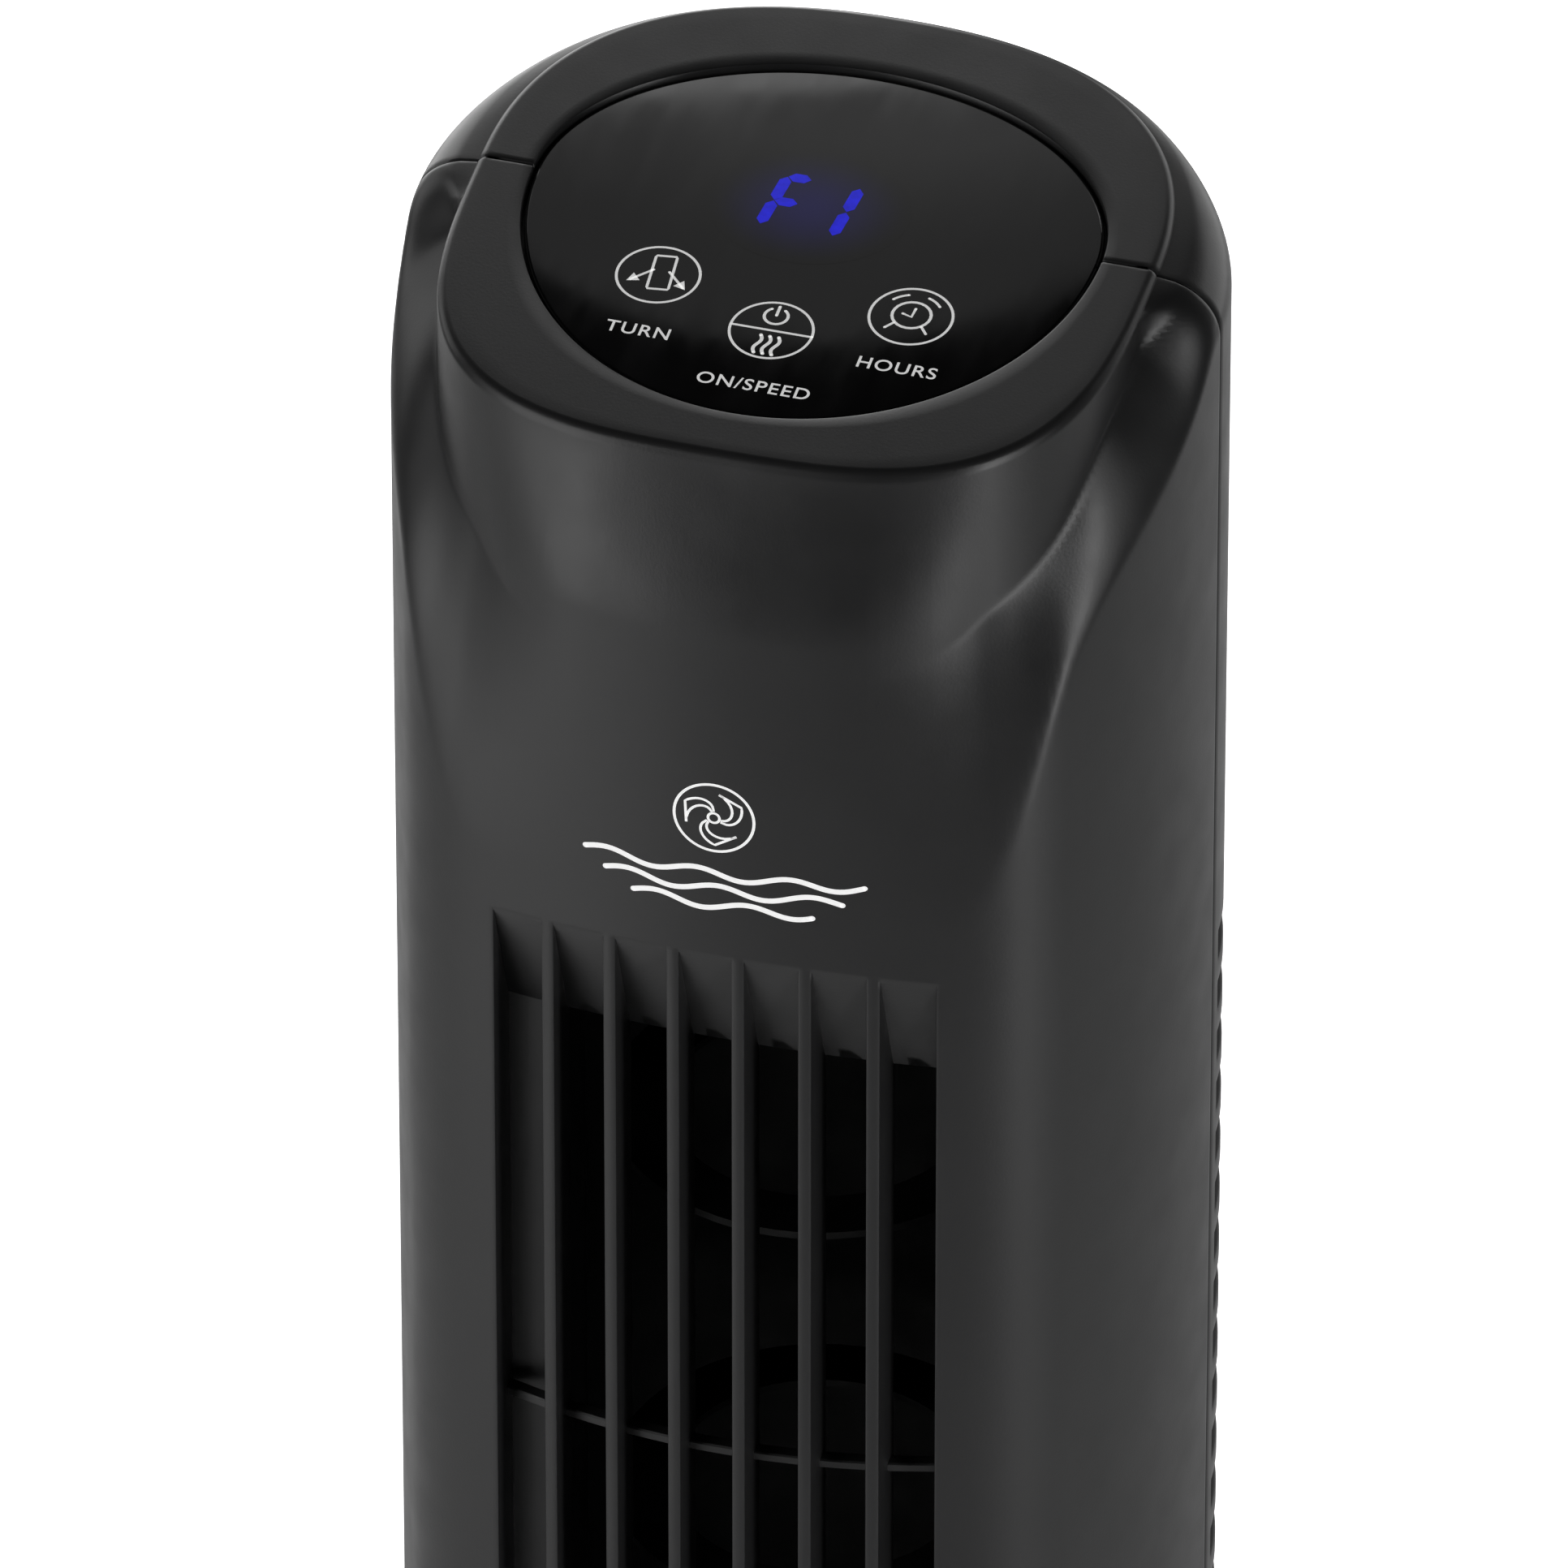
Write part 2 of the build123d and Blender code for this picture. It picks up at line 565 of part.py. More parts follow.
MOTOR_Z = 122.0
MOTOR_H = 50.0
with BuildPart() as motor_case:
    with Locations((0, WHEEL_Y, MOTOR_Z)):
        Cylinder(37, MOTOR_H, align=UP)
    fillet(motor_case.edges(), 3)
    with Locations((0, WHEEL_Y, MOTOR_Z + 2)):
        Cylinder(35, MOTOR_H - 4, align=UP, mode=Mode.SUBTRACT)
    for z in (MOTOR_Z - 3, MOTOR_Z + MOTOR_H - 3):
        with Locations((0, WHEEL_Y, z)):
            Cylinder(8, 6, align=UP)
    with Locations((0, WHEEL_Y, MOTOR_Z - 5)):
        Cylinder(SHAFT_R + RUNNING_GAP, MOTOR_H + 10, align=UP, mode=Mode.SUBTRACT)
    with Locations((0, WHEEL_Y, MOTOR_Z + MOTOR_H)):
        with PolarLocations(28, 3, start_angle=30):
            Cylinder(2.1, 10, mode=Mode.SUBTRACT)

with BuildPart() as motor_stator:
    with Locations((0, WHEEL_Y, MOTOR_Z + 8)):
        Cylinder(34.9, 34, align=UP)
        Cylinder(20.6, 34, align=UP, mode=Mode.SUBTRACT)

with BuildPart() as motor_rotor:
    with Locations((0, WHEEL_Y, MOTOR_Z + 9)):
        Cylinder(20, 32, align=UP)
        Cylinder(SHAFT_R + 0.02, 32, align=UP, mode=Mode.SUBTRACT)

with BuildPart() as motor_shaft:
    with Locations((0, WHEEL_Y, MOTOR_Z - 8)):
        Cylinder(SHAFT_R, WHEEL_BOTTOM_Z + 12 - MOTOR_Z + 8, align=UP)

with BuildPart() as motor_isolators:
    with Locations((0, WHEEL_Y, MOTOR_Z + MOTOR_H)):
        with PolarLocations(28, 3, start_angle=30):
            Cylinder(5.5, LOWER_PLATE_Z - MOTOR_Z - MOTOR_H, align=UP)
            Cylinder(2.1, 40, mode=Mode.SUBTRACT)

with BuildPart() as motor_screws:
    with Locations((0, WHEEL_Y, LOWER_PLATE_Z + PLATE_T)):
        with PolarLocations(28, 3, start_angle=30):
            Cylinder(3.8, 2.6, align=UP)
            with Locations((0, 0, -18)):
                Cylinder(2, 19, align=UP)

# ---------------------------------------------------------------- electrics in the foot of the tower
with BuildPart() as power_board:
    with Locations((0, -51.4, 116)):
        Box(62, 1.6, 66)

with BuildPart() as power_components:
    with Locations((-18, -45.6, 134), (0, -45.6, 134)):
        Box(13, 10, 18)
    with Locations((18, -43.6, 128)):
        Box(16, 14, 22)
    with Locations((-18, -50.6, 104), (-4, -50.6, 104)):
        Cylinder(5, 12, rotation=TOWARDS_REAR, align=UP)
    with Locations((16, -46.6, 98)):
        Box(22, 8, 9)

with BuildPart() as run_capacitor:
    with Locations((-56, 7, TOWER_BOTTOM_Z + 4)):
        Box(18, 36, 28, align=UP)
    fillet(run_capacitor.edges().filter_by(Axis.Z), 3)

# ---------------------------------------------------------------- floor of the tower and the swing drive
PINION_Y = GEAR_CENTRES
CAN_TOP = 60.0
with BuildPart() as tower_floor:
    extrude(level_section(TOWER_BOTTOM_Z, WALL + 0.3), 4)
    Cylinder(24, 60.0, align=UP, mode=Mode.ADD)
    with Locations((0, 0, -1)):
        Box(300, 300, TOWER_BOTTOM_Z + 1, align=UP, mode=Mode.SUBTRACT)
        Cylinder(POST_R + RUNNING_GAP, 100, align=UP, mode=Mode.SUBTRACT)
    with Locations((-21, PINION_Y, TOWER_BOTTOM_Z), (21, PINION_Y, TOWER_BOTTOM_Z)):
        Cylinder(3.5, CAN_TOP - 1.3 - TOWER_BOTTOM_Z, align=UP)
    with Locations((-21, PINION_Y, 50), (21, PINION_Y, 50)):
        Cylinder(1.5, 20, align=UP, mode=Mode.SUBTRACT)
    with Locations(*[(x, y, TOWER_BOTTOM_Z) for x, y in FLOOR_SCREWS]):
        Cylinder(1.6, 20, mode=Mode.SUBTRACT)
        Cylinder(3.2, 4.6, mode=Mode.SUBTRACT)

with BuildPart() as floor_screws:
    with Locations(*[(x, y, TOWER_BOTTOM_Z + 0.4) for x, y in FLOOR_SCREWS]):
        Cylinder(3, 1.8, align=UP)
        Cylinder(1.5, 15, align=UP)

with BuildPart() as swing_motor:
    with Locations((0, PINION_Y, TOWER_BOTTOM_Z + 4)):
        Cylinder(17.4, CAN_TOP - TOWER_BOTTOM_Z - 4, align=UP)
    with Locations((0, PINION_Y, CAN_TOP - 1.2)):
        Box(49, 7, 1.2, align=UP)
    with Locations((-21, PINION_Y, CAN_TOP), (21, PINION_Y, CAN_TOP)):
        Cylinder(1.6, 6, mode=Mode.SUBTRACT)
    with Locations((0, PINION_Y, 54)):
        Cylinder(2.5 + RUNNING_GAP, 10, align=UP, mode=Mode.SUBTRACT)

with BuildPart() as swing_motor_screws:
    with Locations((-21, PINION_Y, CAN_TOP), (21, PINION_Y, CAN_TOP)):
        Cylinder(2.6, 1.8, align=UP)
    with Locations((-21, PINION_Y, 51), (21, PINION_Y, 51)):
        Cylinder(1.4, 9.5, align=UP)

with BuildPart() as swing_motor_shaft:
    with Locations((0, PINION_Y, 54.5)):
        Cylinder(2.5, 17, align=UP)

with BuildPart() as swing_pinion:
    with BuildSketch(Plane.XY.offset(GEAR_Z)):
        with BuildLine(mode=Mode.PRIVATE) as pinion_line:
            Polyline(*gear_outline(PINION_TEETH, BACKLASH / 2, pi / PINION_TEETH), close=True)
        with Locations((0, PINION_Y)):
            add(make_face(pinion_line.edges(), mode=Mode.PRIVATE))
            Circle(2.52, mode=Mode.SUBTRACT)
    extrude(amount=GEAR_H)

with BuildPart() as fixed_gear:
    with BuildSketch(Plane.XY.offset(GEAR_Z)):
        with BuildLine():
            Polyline(*gear_outline(FIXED_TEETH, BACKLASH / 2, 0), close=True)
        make_face()
        Circle(16.02, mode=Mode.SUBTRACT)
    extrude(amount=GEAR_H)

# ---------------------------------------------------------------- base
with BuildPart() as swivel_post:
    with BuildSketch(Plane.XZ):
        with BuildLine():
            Polyline(
                (13, PLATEAU_Z), (34, PLATEAU_Z), (34, 43), (POST_R, 43), (POST_R, GEAR_Z),
                (16, GEAR_Z), (16, 80), (13, 80), close=True,
            )
        make_face()
    revolve(axis=Axis.Z)
    with Locations((0, 0, 39)):
        with PolarLocations(26, 4, start_angle=45):
            Cylinder(1.6, 10, align=UP, mode=Mode.SUBTRACT)
    with Locations((0, 0, 41)):
        with PolarLocations(26, 4, start_angle=45):
            Cylinder(3.2, 10, align=UP, mode=Mode.SUBTRACT)

with BuildPart() as post_screws:
    with PolarLocations(26, 4, start_angle=45):
        with Locations((0, 0, 41)):
            Cylinder(3, 1.7, align=UP)
        with Locations((0, 0, 28)):
            Cylinder(1.5, 13.5, align=UP)

with BuildPart() as retaining_ring:
    with Locations((0, 0, GEAR_Z + GEAR_H)):
        Cylinder(24, 3, align=UP)
        Cylinder(16.02, 3, align=UP, mode=Mode.SUBTRACT)

with BuildPart() as slide_ring:
    with Locations((0, 0, PLATEAU_Z)):
        Cylinder(56, 3, align=UP)
        Cylinder(42, 3, align=UP, mode=Mode.SUBTRACT)

with BuildPart() as base_cover:
    with BuildSketch(Plane.XZ):
        with BuildLine():
            Line((13.5, PLATEAU_Z), (PLATEAU_R, PLATEAU_Z))
            EllipticalCenterArc((PLATEAU_R, 11), BASE_R - PLATEAU_R, PLATEAU_Z - 11, arc_size=90)
            Line((BASE_R, 11), (BASE_R, FOOT_DROP))
            Line((BASE_R, FOOT_DROP), (BASE_R - 3, FOOT_DROP))
            Line((BASE_R - 3, FOOT_DROP), (BASE_R - 3, 11))
            EllipticalCenterArc((PLATEAU_R, 11), BASE_R - PLATEAU_R - 3, PLATEAU_Z - 14, arc_size=90)
            Line((PLATEAU_R, PLATEAU_Z - 3), (13.5, PLATEAU_Z - 3))
            Line((13.5, PLATEAU_Z - 3), (13.5, PLATEAU_Z))
        make_face()
    revolve(axis=Axis.Z)
    with Locations((0, 0, 24)):
        with PolarLocations(26, 4, start_angle=45):
            Cylinder(5, 14, align=UP)
            Cylinder(1.6, 20, align=UP, mode=Mode.SUBTRACT)
    with Locations((0, 0, FOOT_DROP + 3.1)):
        with PolarLocations(90, 5, start_angle=90):
            Cylinder(5, 32, align=UP)
            Cylinder(1.8, 20, align=UP, mode=Mode.SUBTRACT)
    # pocket in the rear edge where the cord comes out
    with Locations((0, 113, 16.5)):
        Box(25, 13, 19)
    with Locations((0, 119, 13)):
        Box(20, 20, 21, mode=Mode.SUBTRACT)
    with Locations((0, 96, 13)):
        Cylinder(5.6, 30, rotation=TOWARDS_REAR, mode=Mode.SUBTRACT)

with BuildPart() as base_plate:
    Cylinder(BASE_R - 3.6, 7, align=UP)
    Box(300, 300, FOOT_DROP, align=UP, mode=Mode.SUBTRACT)
    with PolarLocations(90, 5, start_angle=90):
        Cylinder(1.8, 20, mode=Mode.SUBTRACT)
        Cylinder(3.8, 2 * (FOOT_DROP + 2), mode=Mode.SUBTRACT)
    with Locations((0, 119, 0)):
        Box(26, 24, 30, mode=Mode.SUBTRACT)

with BuildPart() as base_screws:
    with PolarLocations(90, 5, start_angle=90):
        with Locations((0, 0, FOOT_DROP + 0.2)):
            Cylinder(3.5, 1.8, align=UP)
            Cylinder(1.7, 16, align=UP)

with BuildPart() as rubber_feet:
    with PolarLocations(104, 5, start_angle=270):
        Cylinder(9, FOOT_DROP, align=UP)

with BuildPart() as cord_gland:
    with Locations((0, 102, 13)):
        Cylinder(5.5, 18, rotation=TOWARDS_REAR, align=UP)
        Cylinder(3.4, 18, rotation=TOWARDS_REAR, align=UP, mode=Mode.SUBTRACT)

# ---------------------------------------------------------------- the pieces
pieces = {
    "base_plate": base_plate,
    "base_cover": base_cover,
    "base_screws": base_screws,
    "rubber_feet": rubber_feet,
    "cord_gland": cord_gland,
    "swivel_post": swivel_post,
    "post_screws": post_screws,
    "slide_ring": slide_ring,
    "fixed_gear": fixed_gear,
    "retaining_ring": retaining_ring,
    "tower_floor": tower_floor,
    "floor_screws": floor_screws,
    "front_shell": front_shell,
    "rear_shell": rear_shell,
    "inlet_screen": inlet_screen,
    "shell_screws": shell_screws,
    "control_tray": control_tray,
    "tray_screws": tray_screws,
    "panel_lens": panel_lens,
    "display_board": display_board,
    "board_screws": board_screws,
    "digit_display": digit_display,
    "touch_springs": touch_springs,
    "display_cable": display_cable,
    "scroll_wall": scroll_wall,
    "tongue_wall": tongue_wall,
    "upper_duct_plate": upper_duct_plate,
    "lower_duct_plate": lower_duct_plate,
    "bearing_rubber": bearing_rubber,
    "bearing_bush": bearing_bush,
    "impeller": impeller,
    "impeller_pin": impeller_pin,
    "hub_set_screw": hub_set_screw,
    "motor_case": motor_case,
    "motor_stator": motor_stator,
    "motor_rotor": motor_rotor,
    "motor_shaft": motor_shaft,
    "motor_isolators": motor_isolators,
    "motor_screws": motor_screws,
    "power_board": power_board,
    "power_components": power_components,
    "run_capacitor": run_capacitor,
    "swing_motor": swing_motor,
    "swing_motor_screws": swing_motor_screws,
    "swing_motor_shaft": swing_motor_shaft,
    "swing_pinion": swing_pinion,
}
for name, piece in pieces.items():
    piece.part.label = name
    export_step(piece.part, f"parts/{name}.step")
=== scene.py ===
"""The looks of the tower fan, built round its CAD frame.

Shapes are worked out in millimetres, in the frame's own axes, and become metres when a mesh is made.
"""

import json
from math import atan2, cos, degrees, hypot, pi, radians, sin, sqrt, tan

import bpy
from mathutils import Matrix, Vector


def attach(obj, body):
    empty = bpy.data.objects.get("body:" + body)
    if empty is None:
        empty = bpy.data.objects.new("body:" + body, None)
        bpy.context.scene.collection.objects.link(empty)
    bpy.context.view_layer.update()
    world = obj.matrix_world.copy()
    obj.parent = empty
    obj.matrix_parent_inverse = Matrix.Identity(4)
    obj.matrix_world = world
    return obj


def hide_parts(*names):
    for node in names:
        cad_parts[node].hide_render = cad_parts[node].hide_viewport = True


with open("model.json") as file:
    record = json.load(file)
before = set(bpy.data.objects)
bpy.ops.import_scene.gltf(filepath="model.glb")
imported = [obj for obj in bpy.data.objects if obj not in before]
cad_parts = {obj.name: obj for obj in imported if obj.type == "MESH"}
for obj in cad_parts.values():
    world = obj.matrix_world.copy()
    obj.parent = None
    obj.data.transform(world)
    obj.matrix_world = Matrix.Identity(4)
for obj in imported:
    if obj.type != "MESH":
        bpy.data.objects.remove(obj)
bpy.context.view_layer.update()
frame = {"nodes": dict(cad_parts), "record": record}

# ---------------------------------------------------------------- sizes shared with the CAD part
MM = 0.001
TOTAL_HEIGHT = 780.0
TOWER_BOTTOM_Z = 43.3
HALF_WIDTH, SEAM_Y, REAR_DEPTH, REAR_POWER = 77.0, 7.0, 62.0, 2.05
CHEEK_R, FACE_R, FACE_Y, CORNER_SOFTNESS = 114.0, 145.0, -68.0, 7.0
DECK_HALF_WIDTH, DECK_TILT = 65.0, 5.0
DECK_FRONT_DEPTH, DECK_FRONT_POWER = 69.0, 3.1
DECK_REAR_DEPTH, DECK_REAR_POWER = 57.0, 2.4
SCOOP_DEPTH = 110.0
WALL = 2.6
SEAM_GAP = 0.3
PANEL_HALF_WIDTH, PANEL_FRONT_DEPTH, PANEL_REAR_DEPTH = 54.2, 57.0, 40.5
GRILLE_TOP_Z, GRILLE_BOTTOM_Z = 659.0, 192.0
BAR_COUNT, BAR_PITCH, BAR_THICKNESS, BAR_DEPTH = 8, 12.5, 2.6, 10.0
RAMP_HEIGHT, RAMP_SINK = 27.0, 9.2
TIE_SPACING, TIE_HEIGHT = 111.0, 2.0
VENT_PITCH, VENT_HEIGHT, VENT_TOP_Z, VENT_COUNT, VENT_FRONT_Y = 12.0, 7.0, 621.0, 35, 12.0
LENS_DROP = 1.0
DECK_Z = TOTAL_HEIGHT - (SEAM_Y + DECK_REAR_DEPTH) * tan(radians(DECK_TILT))

# looks only
DECK_ROUND = 2.0  # radius along the deck's edge
EDGE_ROUND = 0.5  # radius along the bars and slats
BLIND_CELL_Y = -52.0  # sheet that closes the leftmost cell
GRILLE_ARCH = 3.1  # how much lower the outer cells start than the middle ones
BAR_PLACES = [(k - (BAR_COUNT - 1) / 2) * BAR_PITCH for k in range(BAR_COUNT)]
VENT_BOTTOM_Z = VENT_TOP_Z - (VENT_COUNT - 1) * VENT_PITCH - VENT_HEIGHT


# ---------------------------------------------------------------- outline, polar about (0, SEAM_Y)
def soft_min(a, b, softness):
    """The smaller of a and b, with the corner between them rounded."""
    blend = max(softness - abs(a - b), 0) / softness
    return min(a, b) - blend * blend * softness / 4


def arc_distance(c, s, centre_x, centre_y, radius):
    """How far a ray from the pole runs in direction (c, s) before it leaves the circle."""
    along = c * centre_x + s * centre_y
    return along + sqrt(along**2 - centre_x**2 - centre_y**2 + radius**2)


def body_radius(angle):
    """Full section of the tower."""
    c, s = abs(cos(angle)), sin(angle)
    if s >= 0:
        return ((c / HALF_WIDTH) ** REAR_POWER + (s / REAR_DEPTH) ** REAR_POWER) ** (-1 / REAR_POWER)
    cheek = arc_distance(c, s, HALF_WIDTH - CHEEK_R, 0, CHEEK_R)
    face = arc_distance(c, s, 0, FACE_Y + FACE_R - SEAM_Y, FACE_R)
    return soft_min(cheek, face, CORNER_SOFTNESS)


def deck_radius(angle):
    """Section of the raised deck."""
    c, s = abs(cos(angle)), sin(angle)
    depth, power = (DECK_REAR_DEPTH, DECK_REAR_POWER) if s >= 0 else (DECK_FRONT_DEPTH, DECK_FRONT_POWER)
    return ((c / DECK_HALF_WIDTH) ** power + (abs(s) / depth) ** power) ** (-1 / power)


def panel_radius(angle):
    """Opening that the touch panel sits in."""
    depth = PANEL_REAR_DEPTH if sin(angle) >= 0 else PANEL_FRONT_DEPTH
    return 1 / hypot(cos(angle) / PANEL_HALF_WIDTH, sin(angle) / depth)


def smooth_step(x):
    x = min(max(x, 0), 1)
    return x * x * (3 - 2 * x)


def between(x, stops):
    """Straight lines through (place, value) stops."""
    for (x0, y0), (x1, y1) in zip(stops, stops[1:]):
        if x <= x1:
            return y0 + (y1 - y0) * max(x - x0, 0) / (x1 - x0)
    return stops[-1][1]


def eased(x, stops):
    """The same lines with their corners rounded off."""
    return sum(between(x + k * 1.6, stops) for k in range(-3, 4)) / 7


def growth(angle, depth):
    """Share of the way from the deck's section to the full one, at a depth below the deck."""
    turn = degrees(atan2(-sin(angle), abs(cos(angle))))  # 0 at the seam, 90 at the front, negative behind
    shoulder = min(max((depth - 1.5) / 11, 0), 1)
    rounded = sqrt(1 - (1 - shoulder) ** 2)
    if turn <= 0:
        return rounded
    top = eased(turn, [(0, 1), (15, 9), (28, 14), (37, 26), (46, 33), (60, 46)])
    bottom = eased(turn, [(0, 9), (13, 22), (28, 33), (35, 40), (40, 48), (45, 65), (50, 105)])
    run = min(max((depth - top) / (bottom - top), 0), 1)
    scoop = 1 - (1 - run) ** 1.5
    ramp = smooth_step((depth + 3) / 42)
    side = rounded + (scoop - rounded) * smooth_step(turn / 12)
    return side + (ramp - side) * smooth_step((turn - 50) / 22)


def neck_radius(angle, depth):
    deck = deck_radius(angle)
    return deck + (body_radius(angle) - deck) * growth(angle, depth)


def tilt_at(depth):
    """The sections lie in planes that turn level as they go down."""
    return DECK_TILT * (1 - smooth_step(depth / SCOOP_DEPTH))


def angle_at(x):
    """The angle at which the front of the full section passes x."""
    low, high = -pi / 2, -pi / 5
    for _ in range(50):
        middle = (low + high) / 2
        if body_radius(middle) * cos(middle) < abs(x):
            low = middle
        else:
            high = middle
    return middle if x >= 0 else -pi - middle


def face_y(x):
    """Front face of the full section at x."""
    angle = angle_at(x)
    return SEAM_Y + body_radius(angle) * sin(angle)


# ---------------------------------------------------------------- meshes
def new_piece(name, points, faces, material, body, sharp=32):
    """A smooth-shaded mesh from points in millimetres, riding on a body."""
    mesh = bpy.data.meshes.new(name)
    mesh.from_pydata([(x * MM, y * MM, z * MM) for x, y, z in points], [], faces)
    piece = bpy.data.objects.new(name, mesh)
    bpy.context.scene.collection.objects.link(piece)
    weld = piece.modifiers.new("weld", "WELD")
    weld.merge_threshold = 0.004 * MM
    made = bpy.data.meshes.new_from_object(piece.evaluated_get(bpy.context.evaluated_depsgraph_get()))
    piece.modifiers.clear()
    piece.data = made
    made.name = name
    made.shade_smooth()
    made.set_sharp_from_angle(angle=radians(sharp))
    made.materials.append(material)
    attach(piece, body)
    return piece


def sheet_faces(rows, columns, start=0, keep=lambda r, c: True, flip=False):
    """Quads over a grid of points that is stored row by row."""
    faces = []
    for r in range(rows - 1):
        for c in range(columns - 1):
            if keep(r, c):
                a = start + r * columns + c
                quad = (a, a + columns, a + columns + 1, a + 1)
                faces.append(quad[::-1] if flip else quad)
    return faces


def column(angle, inset=0.0, off_seam=None, x=None, sink=0.0, cell=None):
    """One upright line of a shell's grid: where it stands, and how deep it may sink in the grille."""
    return dict(angle=angle, inset=inset, off_seam=off_seam, x=x, sink=sink, cell=cell)


def seam_columns(angle, side):
    """The rounded lip of a shell along the seam, from its inner edge outwards.

    side is -1 for the front shell and 1 for the rear one.
    """
    half = SEAM_GAP / 2
    return [
        column(angle, WALL, side * half),
        column(angle, EDGE_ROUND, side * half),
        column(angle, 0.15, side * (half + 0.15)),
        column(angle, 0, side * (half + EDGE_ROUND)),
    ]


def at_angle(col, radius):
    """Plan point of a column at a radius."""
    if col["off_seam"] is None:
        return radius * cos(col["angle"]), SEAM_Y + radius * sin(col["angle"])
    return radius * cos(col["angle"]), SEAM_Y + col["off_seam"]


def deck_rows():
    """The deck, from the lip of the panel opening outwards.

    Each row is (inset from the opening, share of the way out, drop).
    """
    lip = [(0, 0, 3.4), (0, 0, EDGE_ROUND), (0.15, 0, 0.15), (EDGE_ROUND, 0, 0)]
    return lip + [(EDGE_ROUND, k / 5, 0) for k in range(1, 6)]


def deck_point(col, row):
    inset, share, drop = row
    inner = panel_radius(col["angle"]) + inset
    outer = neck_radius(col["angle"], 0) - DECK_ROUND
    x, y = at_angle(col, inner + (outer - inner) * share)
    return x, y, DECK_Z - drop - col["inset"] + y * tan(radians(DECK_TILT))


NECK_DEPTHS = (
    [0.03, 0.12, 0.3, 0.6, 1.0, 1.5, 2.0, 2.5, 3.0, 3.5]
    + [4 + k * 0.75 for k in range(60)]
    + [50 + k * 1.5 for k in range(40)]
    + [SCOOP_DEPTH]
)


def neck_point(col, depth):
    left = max(DECK_ROUND - depth, 0)
    rounding = DECK_ROUND - sqrt(DECK_ROUND**2 - left**2)
    x, y = at_angle(col, neck_radius(col["angle"], depth) - rounding - col["inset"])
    return x, y, DECK_Z - depth + y * tan(radians(tilt_at(depth)))


# ---------------------------------------------------------------- front shell
def ramp_sink(run):
    """How deep a cell's end ramp has sunk, run millimetres from where it starts."""
    return (hypot(max(run, 0), 0.6) - 0.6) * RAMP_SINK / RAMP_HEIGHT


def arch_drop(x, z):
    """The cells start lower towards the sides; the shift fades out above and below."""
    fade = smooth_step((z - 560) / 60) * (1 - smooth_step((z - GRILLE_TOP_Z - 1) / 6))
    return GRILLE_ARCH * (x / BAR_PLACES[-1]) ** 2 * fade


def grille_columns():
    """Columns from the left edge of the window to the right one."""
    half = BAR_THICKNESS / 2
    columns = []
    for k, place in enumerate(BAR_PLACES):
        profile = [(-half, None), (-half, EDGE_ROUND), (0.15 - half, 0.14), (EDGE_ROUND - half, 0), (0, 0)]
        profile += [(half - EDGE_ROUND, 0), (half - 0.15, 0.14), (half, EDGE_ROUND), (half, None)]
        if k == 0:
            profile = profile[3:]
        if k == BAR_COUNT - 1:
            profile = profile[:-3]
        for across, sink in profile:
            x = place + across
            in_cell = sink is None
            columns.append(column(angle_at(x), x=x, sink=BAR_DEPTH if in_cell else sink, cell=in_cell))
        if k < BAR_COUNT - 1:
            for share in (0.25, 0.5, 0.75):
                x = place + half + share * (BAR_PITCH - BAR_THICKNESS)
                columns.append(column(angle_at(x), x=x, sink=BAR_DEPTH, cell=True))
    return columns


def front_columns():
    window = grille_columns()
    edge = degrees(window[-1]["angle"])
    right = [column(radians(edge - edge * k / 56)) for k in range(1, 56)]
    left = [column(radians(-180 - edge * k / 56)) for k in range(1, 56)]
    return seam_columns(-pi, -1) + left + window + right + seam_columns(0, -1)[::-1]


STEPS_IN = [0, 0.15, 0.35, 0.7, 1.2, 2, 3.2, 5, 8, 12, 16, 20, 24, RAMP_HEIGHT]
FRONT_LEVELS = (
    [663.7, 663.0, 662.2, 661.4, 660.7, 660.1, 659.7, 659.3]
    + [GRILLE_TOP_Z - s for s in STEPS_IN]
    + [631.7, 628, 624, 618, 610, 600, 590, 580, 570, 560, 530, 490, 450, 410, 370, 330, 290, 250]
    + [219.3]
    + [GRILLE_BOTTOM_Z + s for s in STEPS_IN[::-1]]
    + [191.6, 190.8, 189, 185, 175, 150, 120, 90, 60, 48]
    + [TOWER_BOTTOM_Z + EDGE_ROUND]
)


def front_level_point(col, z):
    if col["x"] is None:
        x, y = at_angle(col, body_radius(col["angle"]) - col["inset"])
    else:
        x = col["x"]
        run = min(GRILLE_TOP_Z - z, z - GRILLE_BOTTOM_Z)
        inside = 0 < run < RAMP_HEIGHT
        sink = ramp_sink(run) if inside else (BAR_DEPTH if run >= RAMP_HEIGHT else 0)
        if col["cell"] and run == RAMP_HEIGHT:
            sink = RAMP_SINK
        y = face_y(x) + min(col["sink"], sink)
        if col["cell"] and run >= RAMP_HEIGHT + 0.1 and BAR_PLACES[0] < x < BAR_PLACES[1]:
            y = BLIND_CELL_Y
    return x, y, z - arch_drop(min(abs(x), BAR_PLACES[-1] + 1.3), z)


def bottom_lip(columns):
    """Points of the rounded foot of a shell, and its inner edge."""
    rows = []
    for inset, up in [(0.15, 0.15), (EDGE_ROUND, 0), (WALL, 0), (WALL, 4)]:
        for col in columns:
            x, y = at_angle(col, body_radius(col["angle"]) - max(inset, col["inset"]))
            rows.append((x, y, TOWER_BOTTOM_Z + up))
    return rows


